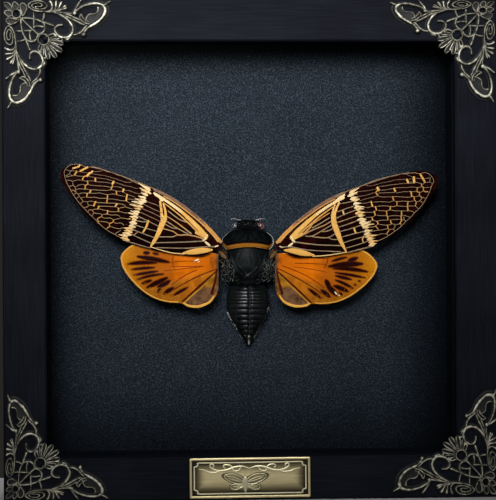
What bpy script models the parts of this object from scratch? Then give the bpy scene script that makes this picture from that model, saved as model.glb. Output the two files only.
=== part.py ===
"""A framed cicada: a spread insect on a board in a glazed black wooden box frame.

The frame stands upright on its flat bottom edge. Its glass faces -Y, +X is to the right of someone
who looks at the glass, and +Z is up. The origin is on the floor, under the middle of the frame.
Lengths are in millimetres here and are scaled to metres when each mesh is finished.
"""

import math

import bmesh
import bpy
from mathutils import Vector

MM = 0.001
TOUCH = 0.3

# Frame, from its outer edges and its front face
FRAME_WIDTH = 185.0
FRAME_HEIGHT = 187.0
RAIL_WIDTH = 16.0
RAIL_DEPTH = 35.0
RAIL_WALL = 10.0
LIP_DEPTH = 5.0
EDGE_CHAMFER = 0.6
TRIM_THICKNESS = 1.6
TRIM_RISE = TOUCH + TRIM_THICKNESS

# Layers behind the lip, as depths below the front face of the rails
GLASS_THICKNESS = 2.0
BOARD_FRONT = 22.2
BOARD_THICKNESS = 4.0
PANEL_THICKNESS = 3.0

# Nameplate on the bottom rail
PLATE_WIDTH = 45.0
PLATE_HEIGHT = 15.0
PLATE_CENTRE_X = -1.1
PLATE_CENTRE_Z = 8.4
PLATE_TILT = math.radians(0.3)

# Inset and rise of each step of the nameplate, from its edge to its field
PLATE_STEPS = [(0.9, 0.0), (0.2, -0.35), (0.5, 0.0), (0.2, 0.25)]

# Insect, centred on its body axis
BODY_X = -0.9
BODY_Z = FRAME_HEIGHT / 2
BODY_SIDES = 20
PRONOTUM_BOW = 1.1
EYE_RADIUS = 1.25
EYE_SOCKET_RADIUS = 1.7
EYE_PLACE = (4.95, 8.75, 8.6)
WING_THICKNESS = 0.5

FRONT_Y = TRIM_RISE - (RAIL_DEPTH + TRIM_RISE) / 2


def clear_scene():
    """Remove every object of the scene."""
    for old in list(bpy.data.objects):
        bpy.data.objects.remove(old, do_unlink=True)


def finish_colour(name, colour, roughness, metallic=0.0, alpha=1.0):
    """A plain Principled material."""
    made = bpy.data.materials.new(name)
    made.use_nodes = True
    shader = made.node_tree.nodes["Principled BSDF"]
    shader.inputs["Base Color"].default_value = (*colour, 1.0)
    shader.inputs["Roughness"].default_value = roughness
    shader.inputs["Metallic"].default_value = metallic
    shader.inputs["Alpha"].default_value = alpha
    return made


def add_piece(name, mesh, colour, smooth_degrees=None):
    """Turn a mesh in millimetres into a named object in metres."""
    bmesh.ops.remove_doubles(mesh, verts=mesh.verts, dist=0.0005)
    bmesh.ops.recalc_face_normals(mesh, faces=mesh.faces)
    bmesh.ops.scale(mesh, vec=(MM, MM, MM), verts=mesh.verts)
    data = bpy.data.meshes.new(name)
    mesh.to_mesh(data)
    mesh.free()
    data.materials.append(colour)
    if smooth_degrees is not None:
        data.shade_smooth()
        data.set_sharp_from_angle(angle=math.radians(smooth_degrees))
    piece = bpy.data.objects.new(name, data)
    bpy.context.scene.collection.objects.link(piece)
    return piece


def at_depth(depth):
    """World Y of a depth below the front face of the rails."""
    return FRONT_Y + depth


def catmull(points, steps):
    """A smooth open curve through points of any dimension, with even steps in its own measure."""
    rows = [Vector(p) for p in points]
    reach = [0.0]
    for one, two in zip(rows, rows[1:]):
        reach.append(reach[-1] + max((two - one).length, 1e-6))
    curve = []
    for step in range(steps + 1):
        want = reach[-1] * step / steps
        at = max(i for i in range(len(rows) - 1) if reach[i] <= want + 1e-9)
        f = (want - reach[at]) / (reach[at + 1] - reach[at])
        p0 = rows[max(at - 1, 0)]
        p1 = rows[at]
        p2 = rows[at + 1]
        p3 = rows[min(at + 2, len(rows) - 1)]
        curve.append(0.5 * (2 * p1 + (p2 - p0) * f + (2 * p0 - 5 * p1 + 4 * p2 - p3) * f ** 2
                            + (3 * p1 - p0 - 3 * p2 + p3) * f ** 3))
    return curve


def slab(x_range, depth_range, z_range):
    """A box between two X values, two depths and two Z values."""
    mesh = bmesh.new()
    bmesh.ops.create_cube(mesh, size=1.0)
    for vert in mesh.verts:
        vert.co.x = x_range[vert.co.x > 0]
        vert.co.y = at_depth(depth_range[vert.co.y > 0])
        vert.co.z = z_range[vert.co.z > 0]
    return mesh


def ring_faces(mesh, rings):
    """Quads between closed rings of equally many vertices."""
    for one, two in zip(rings, rings[1:]):
        for i in range(len(one)):
            j = (i + 1) % len(one)
            mesh.faces.new((one[i], one[j], two[j], two[i]))


def cap_fan(mesh, ring):
    """Close a ring with triangles round its middle."""
    middle = sum((v.co for v in ring), Vector()) / len(ring)
    hub = mesh.verts.new(middle)
    for i in range(len(ring)):
        mesh.faces.new((ring[i], ring[(i + 1) % len(ring)], hub))


def pierced_plate(outline, holes, thickness, place):
    """A flat plate of a plane outline with holes, extruded from depth 0 to its thickness."""
    mesh = bmesh.new()
    edges = []
    for loop in [outline, *holes]:
        verts = [mesh.verts.new((a, b, 0.0)) for a, b in loop]
        edges += [mesh.edges.new((verts[i - 1], verts[i])) for i in range(len(verts))]
    bmesh.ops.triangle_fill(mesh, use_beauty=True, edges=edges, normal=(0, 0, 1))
    raised = bmesh.ops.extrude_face_region(mesh, geom=list(mesh.faces))["geom"]
    bmesh.ops.translate(mesh, vec=(0, 0, thickness),
                        verts=[g for g in raised if isinstance(g, bmesh.types.BMVert)])
    for vert in mesh.verts:
        vert.co = place(*vert.co)
    return mesh


def regular_loop(centre, radius, sides):
    """A regular polygon."""
    turns = [2 * math.pi * i / sides for i in range(sides)]
    return [(centre[0] + radius * math.cos(t), centre[1] + radius * math.sin(t)) for t in turns]


# Frame

RAIL_PROFILE = [
    (EDGE_CHAMFER, 0.0),
    (RAIL_WIDTH - EDGE_CHAMFER, 0.0),
    (RAIL_WIDTH, EDGE_CHAMFER),
    (RAIL_WIDTH, LIP_DEPTH),
    (RAIL_WALL, LIP_DEPTH),
    (RAIL_WALL, RAIL_DEPTH),
    (EDGE_CHAMFER, RAIL_DEPTH),
    (0.0, RAIL_DEPTH - EDGE_CHAMFER),
    (0.0, EDGE_CHAMFER),
]


def mitred_rail(name, length, place, colour):
    """One rail: the profile run between two 45 degree mitres, put in place by place(along, w)."""
    mesh = bmesh.new()
    mitre_gap = TOUCH / math.sqrt(2)
    rings = []
    for end in (-1, 1):
        ring = []
        for w, depth in RAIL_PROFILE:
            along = end * (length / 2 - w - mitre_gap)
            x, z = place(along, w)
            ring.append(mesh.verts.new((x, at_depth(depth), z)))
        rings.append(ring)
    ring_faces(mesh, rings)
    mesh.faces.new(rings[0])
    mesh.faces.new(rings[1])
    return add_piece(name, mesh, colour)


def build_frame(colour):
    """Four mitred rails."""
    half_width = FRAME_WIDTH / 2
    half_height = FRAME_HEIGHT / 2
    mitred_rail("rail_bottom", FRAME_WIDTH, lambda s, w: (s, w), colour)
    mitred_rail("rail_top", FRAME_WIDTH, lambda s, w: (s, FRAME_HEIGHT - w), colour)
    mitred_rail("rail_left", FRAME_HEIGHT, lambda s, w: (w - half_width, half_height + s), colour)
    mitred_rail("rail_right", FRAME_HEIGHT, lambda s, w: (half_width - w, half_height + s), colour)


def build_layers(glass, lining, board, panel):
    """Glass, spacers, mount board and back panel, stacked behind the lip."""
    edge = RAIL_WALL + TOUCH
    x_fit = (edge - FRAME_WIDTH / 2, FRAME_WIDTH / 2 - edge)
    z_fit = (edge, FRAME_HEIGHT - edge)
    glass_front = LIP_DEPTH + TOUCH
    spacer_front = glass_front + GLASS_THICKNESS + TOUCH
    spacer_depth = (spacer_front, BOARD_FRONT - TOUCH)
    add_piece("glass_pane", slab(x_fit, (glass_front, glass_front + GLASS_THICKNESS), z_fit), glass)
    strip = RAIL_WIDTH - edge
    for name, low, high in (("spacer_bottom", z_fit[0], z_fit[0] + strip),
                            ("spacer_top", z_fit[1] - strip, z_fit[1])):
        add_piece(name, slab(x_fit, spacer_depth, (low, high)), lining)
    between = (z_fit[0] + strip + TOUCH, z_fit[1] - strip - TOUCH)
    for name, low, high in (("spacer_left", x_fit[0], x_fit[0] + strip),
                            ("spacer_right", x_fit[1] - strip, x_fit[1])):
        add_piece(name, slab((low, high), spacer_depth, between), lining)
    board_back = BOARD_FRONT + BOARD_THICKNESS
    add_piece("mount_board", slab(x_fit, (BOARD_FRONT, board_back), z_fit), board)
    panel_front = board_back + TOUCH
    add_piece("back_panel", slab(x_fit, (panel_front, panel_front + PANEL_THICKNESS), z_fit), panel)
    return panel_front + PANEL_THICKNESS


TAB_LENGTH = 8.0
TAB_HALF_WIDTH = 6.0
TAB_TIP = 2.0
TAB_THICKNESS = 0.6


def build_tabs(panel_back, colour):
    """Four flat steel points that lie on the back panel, one in the middle of each side."""
    reach_x = FRAME_WIDTH / 2 - RAIL_WALL - TOUCH
    reach_z = FRAME_HEIGHT / 2 - RAIL_WALL - TOUCH
    outline = [(-TAB_HALF_WIDTH, 0), (TAB_HALF_WIDTH, 0), (TAB_HALF_WIDTH, TAB_LENGTH / 2),
               (TAB_TIP, TAB_LENGTH), (-TAB_TIP, TAB_LENGTH), (-TAB_HALF_WIDTH, TAB_LENGTH / 2)]
    start = panel_back + TOUCH
    middle_z = FRAME_HEIGHT / 2
    places = {
        "back_tab_bottom": lambda s, w, d: Vector((s, at_depth(start + d), middle_z - reach_z + w)),
        "back_tab_top": lambda s, w, d: Vector((s, at_depth(start + d), middle_z + reach_z - w)),
        "back_tab_left": lambda s, w, d: Vector((w - reach_x, at_depth(start + d), middle_z + s)),
        "back_tab_right": lambda s, w, d: Vector((reach_x - w, at_depth(start + d), middle_z + s)),
    }
    for name, place in places.items():
        add_piece(name, pierced_plate(outline, [], TAB_THICKNESS, place), colour)


HANGER_HALF = 22.0
HANGER_FLAT = 17.0
HANGER_RAMP = 3.0
HANGER_HEIGHT = 9.0
HANGER_THICKNESS = 0.8
HANGER_EAR_RISE = 2.0
HANGER_BULGE = 2.0
HANGER_NAIL_RADIUS = 0.9
HANGER_NAIL_SIDES = 6
HANGER_TOOTH = 4.0
HANGER_TOOTH_DEPTH = 1.8
HANGER_TOP_Z = 165.0


def build_hanger(panel_back, colour):
    """Sawtooth hanger: a nailed strip whose toothed middle stands off the panel."""
    inner = HANGER_FLAT - HANGER_RAMP
    top = [(x, 0.0) for x in (-HANGER_HALF, -HANGER_FLAT, -inner, 0.0, inner, HANGER_FLAT,
                              HANGER_HALF)]
    foot = -HANGER_HEIGHT
    ear = foot + HANGER_EAR_RISE
    bottom = [(HANGER_HALF, ear), (HANGER_FLAT, foot), (inner, foot)]
    teeth = int(2 * inner / HANGER_TOOTH)
    pitch = 2 * inner / teeth
    for i in range(teeth):
        x = inner - pitch * i
        bottom += [(x - pitch / 2, foot + HANGER_TOOTH_DEPTH), (x - pitch, foot)]
    bottom += [(-HANGER_FLAT, foot), (-HANGER_HALF, ear)]
    nail_x = (HANGER_HALF + HANGER_FLAT) / 2
    holes = [regular_loop((side * nail_x, foot / 2), HANGER_NAIL_RADIUS, HANGER_NAIL_SIDES)
             for side in (-1, 1)]

    def place(x, z, d):
        lift = min(max((HANGER_FLAT - abs(x)) / HANGER_RAMP, 0.0), 1.0) * HANGER_BULGE
        return Vector((x, at_depth(panel_back + TOUCH + lift + d), HANGER_TOP_Z + z))

    add_piece("sawtooth_hanger", pierced_plate(top + bottom, holes, HANGER_THICKNESS, place),
              colour)


# Corner castings: a is along the top or bottom edge and b along the side, from the frame's corner

SHELL_CENTRE = (15.5, 15.5)
CORNER_OUTLINE = [
    (0.4, 0.8), (1.1, 3.4), (0.1, 4.6), (0.3, 6.0), (1.1, 7.0), (0.9, 8.4), (1.8, 9.8),
    (0.4, 11.6), (0.0, 13.6), (0.3, 16.0), (1.2, 17.4),
    (0.0, 18.2), (0.2, 19.3), (1.6, 19.7), (0.3, 20.4), (0.5, 21.2), (2.0, 21.3), (0.6, 22.4),
    (1.0, 23.2), (2.6, 22.9), (2.5, 24.0), (3.6, 24.4), (4.7, 22.8),
    (5.0, 24.2), (5.1, 26.0), (0.2, 28.9), (0.2, 29.9), (1.4, 30.0), (2.4, 29.6),
    (1.4, 31.4), (0.9, 33.6), (1.1, 36.2), (1.7, 38.4), (0.5, 40.2), (1.3, 41.0), (2.9, 39.7),
    (5.2, 39.5), (7.6, 38.6), (9.6, 36.5), (11.0, 34.2), (12.4, 32.0),
    (13.6, 31.6), (14.6, 30.9), (14.3, 29.6), (13.5, 28.8), (14.3, 26.4),
    (15.6, 25.2), (16.0, 23.9), (15.4, 22.4),
]

# The shell's edge as angle and radius from its centre, and its tip on the diagonal
SHELL_EDGE = [(80, 6.4), (71, 5.9), (62, 7.3), (53, 6.9)]
SHELL_TIP = 7.6
ROUND_HOLE_SIDES = 8
PAIRED_HOLES = [
    [(10.9, 22.1), (11.8, 21.1), (13.1, 21.5), (14.1, 23.0), (13.9, 24.7), (12.5, 25.7),
     (10.9, 25.4), (10.5, 24.4)],
    [(6.3, 16.6), (8.1, 16.5), (9.0, 18.4), (9.6, 20.4), (9.4, 23.6), (7.3, 22.2), (6.4, 20.6)],
    [(10.1, 16.6), (12.4, 16.1), (13.3, 17.4), (13.5, 19.6), (12.0, 18.9), (10.7, 19.0)],
    [(4.5, 29.6), (6.4, 30.6), (7.8, 32.4), (8.4, 34.6), (7.4, 36.7), (5.2, 37.4), (3.4, 36.2),
     (2.8, 33.6), (3.4, 31.2)],
    [(10.9, 27.3), (12.7, 26.9), (12.9, 28.4), (11.3, 30.2)],
    [(5.6, 9.2), (6.9, 9.1), (7.0, 11.4), (5.6, 11.4)],
    [(5.7, 12.9), (7.4, 12.8), (8.1, 14.9), (5.9, 15.5)],
    [(8.1, 12.8), (10.0, 12.8), (10.2, 15.0), (8.8, 14.8)],
    [(7.8, 9.6), (10.2, 11.4), (8.0, 11.3)],
]
CENTRE_HOLES = [((5.7, 5.8), 1.1), (SHELL_CENTRE, 1.35)]
EDGE_KEEP = 0.25
EDGE_KNEE = 6.0
TURN_SLACK = 1.0

# Each corner: side in X, side in Z, shift along a and b, turn in degrees
CORNERS = {
    "corner_ornament_top_left": (-1, 1, 0.2, 0.2, -1.3),
    "corner_ornament_top_right": (1, 1, -0.2, -1.6, 0.3),
    "corner_ornament_bottom_right": (1, -1, -1.0, 0.4, 2.0),
    "corner_ornament_bottom_left": (-1, -1, -1.8, -0.9, -0.8),
}


def mirrored(loop):
    """The same points on the other side of the corner's diagonal."""
    return [(b, a) for a, b in reversed(loop)]


def squeeze(value, shift):
    """Keep a casting that sits near the frame's edge from passing it."""
    lowest = min(shift - TURN_SLACK, 0.0)
    if value >= EDGE_KNEE:
        return value
    return EDGE_KEEP + (value - lowest) * (EDGE_KNEE - EDGE_KEEP) / (EDGE_KNEE - lowest)


def corner_place(side_x, side_z, shift_a, shift_b, turn):
    """Where a point of a corner casting lies on the front of the frame."""
    angle = math.radians(turn)
    centre_a, centre_b = SHELL_CENTRE

    def place(a, b, d):
        da = a - centre_a
        db = b - centre_b
        out_a = centre_a + shift_a + da * math.cos(angle) - db * math.sin(angle)
        out_b = centre_b + shift_b + da * math.sin(angle) + db * math.cos(angle)
        x = side_x * (FRAME_WIDTH / 2 - squeeze(out_a, shift_a))
        z = FRAME_HEIGHT / 2 + side_z * (FRAME_HEIGHT / 2 - squeeze(out_b, shift_b))
        return Vector((x, at_depth(-TOUCH - d), z))

    return place


def build_corners(colour):
    """Four pierced castings, one on each corner of the frame's face."""
    shell = [(SHELL_CENTRE[0] + r * math.cos(math.radians(t)),
              SHELL_CENTRE[1] + r * math.sin(math.radians(t))) for t, r in SHELL_EDGE]
    tip = SHELL_CENTRE[0] + SHELL_TIP * math.cos(math.pi / 4)
    half = CORNER_OUTLINE + shell
    outline = half + [(tip, tip)] + mirrored(half)
    holes = [regular_loop(centre, radius, ROUND_HOLE_SIDES) for centre, radius in CENTRE_HOLES]
    for hole in PAIRED_HOLES:
        holes += [hole, mirrored(hole)]
    for name, corner in CORNERS.items():
        place = corner_place(*corner)
        add_piece(name, pierced_plate(outline, holes, TRIM_THICKNESS, place), colour)


def build_nameplate(colour):
    """A plate with a raised rim, a groove and a raised field, in one piece."""
    mesh = slab((-PLATE_WIDTH / 2, PLATE_WIDTH / 2), (-TOUCH - TRIM_THICKNESS, -TOUCH),
                (-PLATE_HEIGHT / 2, PLATE_HEIGHT / 2))
    bmesh.ops.recalc_face_normals(mesh, faces=mesh.faces)
    front = [f for f in mesh.faces if f.normal.y < -0.5]
    for inset, rise in PLATE_STEPS:
        bmesh.ops.inset_region(mesh, faces=front, thickness=inset, depth=rise)
    for vert in mesh.verts:
        x, z = vert.co.x, vert.co.z
        vert.co.x = PLATE_CENTRE_X + x * math.cos(PLATE_TILT) - z * math.sin(PLATE_TILT)
        vert.co.z = PLATE_CENTRE_Z + x * math.sin(PLATE_TILT) + z * math.cos(PLATE_TILT)
    return add_piece("nameplate", mesh, colour)


# Insect: u is to the right of the body axis, v towards the head, h off the board

def on_board(u, v, h):
    """World place of a point of the insect."""
    return Vector((BODY_X + u, at_depth(BOARD_FRONT - h), BODY_Z + v))


def rounded(value, fullness):
    """A sine or cosine bent towards a box (fullness over 1) or a diamond (under 1)."""
    return math.copysign(abs(value) ** (1 / fullness), value)


def body_loft(stations, rings, bow=lambda f: 0.0, fullness=1.0, swell=lambda i: 1.0):
    """A closed body through oval sections (v, half width, lowest h, highest h)."""
    mesh = bmesh.new()
    rows = []
    for i, station in enumerate(catmull(stations, rings)):
        v, half, low, high = station
        row = []
        for k in range(BODY_SIDES):
            t = 2 * math.pi * k / BODY_SIDES
            lift = bow(i / rings) * (1 - math.cos(t) ** 2)
            h = (low + high) / 2 + (high - low) / 2 * rounded(math.sin(t), fullness) * swell(i)
            u = half * rounded(math.cos(t), fullness) * swell(i)
            row.append(mesh.verts.new(on_board(u, v + lift, h)))
        rows.append(row)
    ring_faces(mesh, rows)
    cap_fan(mesh, rows[0])
    cap_fan(mesh, rows[-1])
    return mesh


HEAD = [(7.75, 4.9, 3.4, 10.4), (8.7, 5.5, 2.8, 10.7), (9.8, 5.0, 3.0, 10.3), (10.7, 3.5, 4.2, 9.5),
        (11.1, 1.8, 5.6, 8.4)]
PRONOTUM = [(7.3, 4.4, 3.2, 10.9), (6.3, 7.2, 2.6, 11.9), (4.4, 9.3, 2.2, 12.6), (2.4, 9.7, 1.9, 13.0),
            (1.0, 9.3, 1.8, 13.0), (-0.4, 8.0, 1.8, 12.7)]
THORAX = [(-0.9, 7.6, 1.6, 12.3), (-3.0, 9.0, 0.9, 12.9), (-6.0, 9.6, 0.3, 13.0),
          (-9.0, 9.2, 0.3, 12.6), (-12.0, 7.6, 0.6, 11.4), (-13.5, 6.4, 1.0, 10.6)]
ABDOMEN = [(-13.9, 6.3, 1.0, 10.4), (-16.0, 7.6, 0.7, 10.9), (-19.0, 8.1, 0.5, 10.6),
           (-23.0, 8.0, 0.5, 9.6), (-26.0, 6.9, 0.6, 8.6), (-30.0, 4.6, 1.0, 7.2),
           (-34.0, 2.4, 1.6, 5.6), (-36.8, 0.8, 2.6, 4.3)]
HEAD_RINGS = 6
PRONOTUM_RINGS = 8
THORAX_RINGS = 9
THORAX_FULLNESS = 0.9
ABDOMEN_FULLNESS = 0.95
ABDOMEN_SEGMENTS = 8
RINGS_PER_SEGMENT = 3
SEGMENT_STEP = 0.035


def segment_swell(ring):
    """Each segment of the abdomen swells towards its rear edge and then steps in."""
    return 1.0 - SEGMENT_STEP * (1 - (ring % RINGS_PER_SEGMENT) / (RINGS_PER_SEGMENT - 1))


def eye_centre(side):
    u, v, h = EYE_PLACE
    return on_board(side * u, v, h)


def build_eye(name, side, colour):
    """A round compound eye."""
    mesh = bmesh.new()
    bmesh.ops.create_icosphere(mesh, subdivisions=2, radius=EYE_RADIUS)
    bmesh.ops.translate(mesh, vec=eye_centre(side), verts=mesh.verts)
    return add_piece(name, mesh, colour, 60)


def build_head(colour):
    """The head, with a socket cut for each eye."""
    head = add_piece("head", body_loft(HEAD, HEAD_RINGS), colour, 40)
    for side in (-1, 1):
        mesh = bmesh.new()
        bmesh.ops.create_icosphere(mesh, subdivisions=2, radius=EYE_SOCKET_RADIUS)
        bmesh.ops.translate(mesh, vec=eye_centre(side), verts=mesh.verts)
        cutter = add_piece(f"socket_cutter_{side}", mesh, colour)
        cutter.hide_render = True
        cutter.display_type = "WIRE"
        cut = head.modifiers.new("Socket", "BOOLEAN")
        cut.operation = "DIFFERENCE"
        cut.object = cutter


def tube(points, radii, sides):
    """A tapering limb through points of the insect, closed at both ends."""
    mesh = bmesh.new()
    places = [on_board(*p) for p in points]
    rows = []
    for i, place in enumerate(places):
        ahead = places[min(i + 1, len(places) - 1)] - places[max(i - 1, 0)]
        across = ahead.cross(Vector((0, 1, 0))).normalized()
        over = across.cross(ahead).normalized()
        row = []
        for k in range(sides):
            t = 2 * math.pi * k / sides
            row.append(mesh.verts.new(place + radii[i] * (math.cos(t) * across + math.sin(t) * over)))
        rows.append(row)
    ring_faces(mesh, rows)
    cap_fan(mesh, rows[0])
    cap_fan(mesh, rows[-1])
    return mesh


ANTENNA = [(3.0, 10.95, 10.0), (3.9, 11.15, 10.4), (5.2, 11.45, 10.6), (6.5, 11.4, 10.6)]
LEG_PAIRS = {"fore": (6.0, 3.4), "mid": (6.3, -2.4), "hind": (6.3, -9.0)}
LEG_PATH = [(0.0, 0.0, 0.95), (2.3, 1.8, 1.1), (2.9, 1.2, 1.05), (2.7, -2.4, 0.8), (1.2, -4.4, 0.6)]
ANTENNA_RADII = [0.22, 0.17, 0.13, 0.1]
LEG_RADII = [0.5, 0.45, 0.38, 0.3, 0.22]
ANTENNA_SIDES = 5
LEG_SIDES = 6


def build_limbs(dark):
    """Bristle antennae and six legs folded under the body."""
    for name, side in (("left", -1), ("right", 1)):
        path = [(side * u, v, h) for u, v, h in ANTENNA]
        add_piece(f"antenna_{name}", tube(path, ANTENNA_RADII, ANTENNA_SIDES), dark, 60)
        for pair, (u0, v0) in LEG_PAIRS.items():
            path = [(side * (u0 + u), v0 + v, h) for u, v, h in LEG_PATH]
            add_piece(f"{pair}_leg_{name}", tube(path, LEG_RADII, LEG_SIDES), dark, 60)


# Forewing outline, from the root: s runs to the tip and t towards the fore edge
FORE_EDGE = [(0, 1.9), (5, 4.3), (10, 6.2), (15, 7.5), (20, 8.6), (25, 9.3), (30, 9.5), (40, 9.0),
             (50, 8.1), (55, 7.2), (60, 5.9), (63, 4.8), (65.2, 3.2), (66.5, 1.6), (67, 0.2)]
HIND_EDGE = [(0, -0.9), (2, -1.9), (3.6, -4.4), (6, -6.4), (11, -8.4), (20, -11.2), (30, -13.1),
             (35, -13.7), (40, -13.4), (50, -11.3), (57, -8.1), (63, -4.8), (65.4, -3.1), (66.6, -1.5),
             (67, 0.2)]

# Each forewing: place of its root and its angle above the horizontal, in degrees
FOREWINGS = {"left": (-1, -10.3, 0.6, 25.8), "right": (1, 10.8, 0.3, 23.2)}

# Hindwing outline, from its root: x outwards and y towards the head
LEAD_EDGE = [(0.2, 3.0), (11, 5.4), (20, 7.2), (28, 7.7), (32.4, 6.9), (35, 5.3), (36.9, 3.3),
             (37.4, 1.6)]
TRAIL_EDGE = [(0.3, -1), (0.2, -6.5), (0.5, -11), (2, -14), (4, -16), (8, -17.4), (12, -17),
              (14.5, -15.6), (19, -15.3), (24, -14), (29, -11), (33.5, -6.5), (36.5, -2), (37.4, 1.6)]

# Each hindwing: place of its root, and how many degrees its fan is closed at the leading edge
HINDWINGS = {"left": (-1, -11.06, -4.95, 0.0), "right": (1, 10.08, -5.06, 5.5)}
FAN_LEAD = math.radians(3.0)
FAN_TRAIL = math.radians(-60.0)
FAN_REACH = 0.01

# Heights over the board: at the root, the rise of the camber, its crest and half chord, the droop
# of the tip and the length that it droops over
FOREWING_RISE = (10.7, 0.9, -2.0, 12.0, 1.2, 67.0)
HINDWING_RISE = (9.4, 0.35, -6.0, 12.0, 0.4, 37.0)

# Steps along and across each wing
FOREWING_STEPS = (20, 5)
HINDWING_STEPS = (22, 4)


def forewing_height(s, t):
    """Height of the forewing's middle surface: gently cambered, drooping at its tip."""
    root, rise, crest, half, droop, span = FOREWING_RISE
    return root + rise * (1 - ((t - crest) / half) ** 2) - droop * (s / span) ** 2


def hindwing_height(x, y):
    """Height of the hindwing's middle surface, under the forewing."""
    root, rise, crest, half, droop, span = HINDWING_RISE
    return root + rise * math.cos(math.pi / 2 * (y - crest) / half) - droop * (x / span) ** 2


def forewing_place(side, root_u, root_v, degrees):
    """From forewing outline to insect place."""
    angle = math.radians(degrees)

    def place(s, t, off):
        out = s * math.cos(angle) - t * math.sin(angle)
        up = s * math.sin(angle) + t * math.cos(angle)
        return on_board(root_u + side * out, root_v + up, forewing_height(s, t) + off)

    return place


def hindwing_place(side, root_u, root_v, closed):
    """From hindwing outline to insect place, closing the fan towards its lobe."""
    def place(x, y, off):
        angle = math.atan2(y, x)
        reach = math.hypot(x, y)
        share = min(max((angle - FAN_TRAIL) / (FAN_LEAD - FAN_TRAIL), 0.0), 1.0)
        angle -= math.radians(closed) * share
        reach *= 1 + FAN_REACH * closed * share
        out = reach * math.cos(angle)
        up = reach * math.sin(angle)
        return on_board(root_u + side * out, root_v + up, hindwing_height(x, y) + off)

    return place


def wing_plate(lead, trail, along, across, place):
    """A thin closed plate spanned by chords between two edges that meet at the tip."""
    mesh = bmesh.new()
    front = catmull(lead, along)
    back = catmull(trail, along)
    sheets = []
    for off in (-WING_THICKNESS / 2, WING_THICKNESS / 2):
        sheet = []
        for one, two in zip(front[:-1], back[:-1]):
            chord = [one.lerp(two, k / across) for k in range(across + 1)]
            sheet.append([mesh.verts.new(place(p.x, p.y, off)) for p in chord])
        tip = mesh.verts.new(place(front[-1].x, front[-1].y, off))
        sheets.append((sheet, tip))
    rims = []
    for sheet, tip in sheets:
        for one, two in zip(sheet, sheet[1:]):
            for k in range(across):
                mesh.faces.new((one[k], one[k + 1], two[k + 1], two[k]))
        for k in range(across):
            mesh.faces.new((sheet[-1][k], sheet[-1][k + 1], tip))
        rims.append(sheet[0] + [row[-1] for row in sheet[1:]] + [tip]
                    + [row[0] for row in reversed(sheet[1:])])
    ring_faces(mesh, rims)
    return mesh


def build_wings(forewing_colour, hindwing_colour):
    """Two forewings over two hindwings."""
    for name, spread in FOREWINGS.items():
        mesh = wing_plate(FORE_EDGE, HIND_EDGE, *FOREWING_STEPS, forewing_place(*spread))
        add_piece(f"forewing_{name}", mesh, forewing_colour, 40)
    for name, spread in HINDWINGS.items():
        mesh = wing_plate(LEAD_EDGE, TRAIL_EDGE, *HINDWING_STEPS, hindwing_place(*spread))
        add_piece(f"hindwing_{name}", mesh, hindwing_colour, 40)


def build_insect():
    """The cicada, back outwards, its underside on the board."""
    black = finish_colour("black cuticle", (0.012, 0.012, 0.013), 0.3)
    eye = finish_colour("eye", (0.09, 0.04, 0.035), 0.15)
    maroon = finish_colour("dark wing", (0.05, 0.012, 0.008), 0.45)
    orange = finish_colour("orange wing", (0.5, 0.16, 0.01), 0.45)
    build_head(black)
    build_eye("eye_left", -1, eye)
    build_eye("eye_right", 1, eye)
    build_limbs(black)
    pronotum = body_loft(PRONOTUM, PRONOTUM_RINGS, lambda f: PRONOTUM_BOW * f ** 2)
    add_piece("pronotum", pronotum, black, 40)
    thorax = body_loft(THORAX, THORAX_RINGS, lambda f: PRONOTUM_BOW * (1 - f) ** 3, THORAX_FULLNESS)
    add_piece("thorax", thorax, black, 40)
    rings = ABDOMEN_SEGMENTS * RINGS_PER_SEGMENT
    abdomen = body_loft(ABDOMEN, rings, fullness=ABDOMEN_FULLNESS, swell=segment_swell)
    add_piece("abdomen", abdomen, black, 25)
    build_wings(maroon, orange)


def build():
    """The whole framed insect."""
    clear_scene()
    wood = finish_colour("black wood", (0.018, 0.018, 0.02), 0.45)
    glass = finish_colour("clear glass", (0.9, 0.93, 0.92), 0.05, alpha=0.08)
    lining = finish_colour("black lining", (0.008, 0.008, 0.01), 0.8)
    board = finish_colour("blue black board", (0.02, 0.027, 0.038), 0.85)
    fibreboard = finish_colour("brown fibreboard", (0.22, 0.13, 0.07), 0.9)
    steel = finish_colour("plated steel", (0.55, 0.55, 0.53), 0.35, metallic=1.0)
    bronze = finish_colour("aged bronze", (0.16, 0.15, 0.1), 0.45, metallic=1.0)
    brass = finish_colour("brushed brass", (0.42, 0.36, 0.2), 0.4, metallic=1.0)
    build_frame(wood)
    panel_back = build_layers(glass, lining, board, fibreboard)
    build_tabs(panel_back, steel)
    build_hanger(panel_back, steel)
    build_corners(bronze)
    build_nameplate(brass)
    build_insect()


build()
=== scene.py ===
"""Looks of the framed cicada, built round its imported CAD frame.

Shapes are worked out in millimetres and scaled to metres when each piece is finished. The insect's
places are u to the right of its body axis, v towards its head and h off the board.
"""

import math

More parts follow.
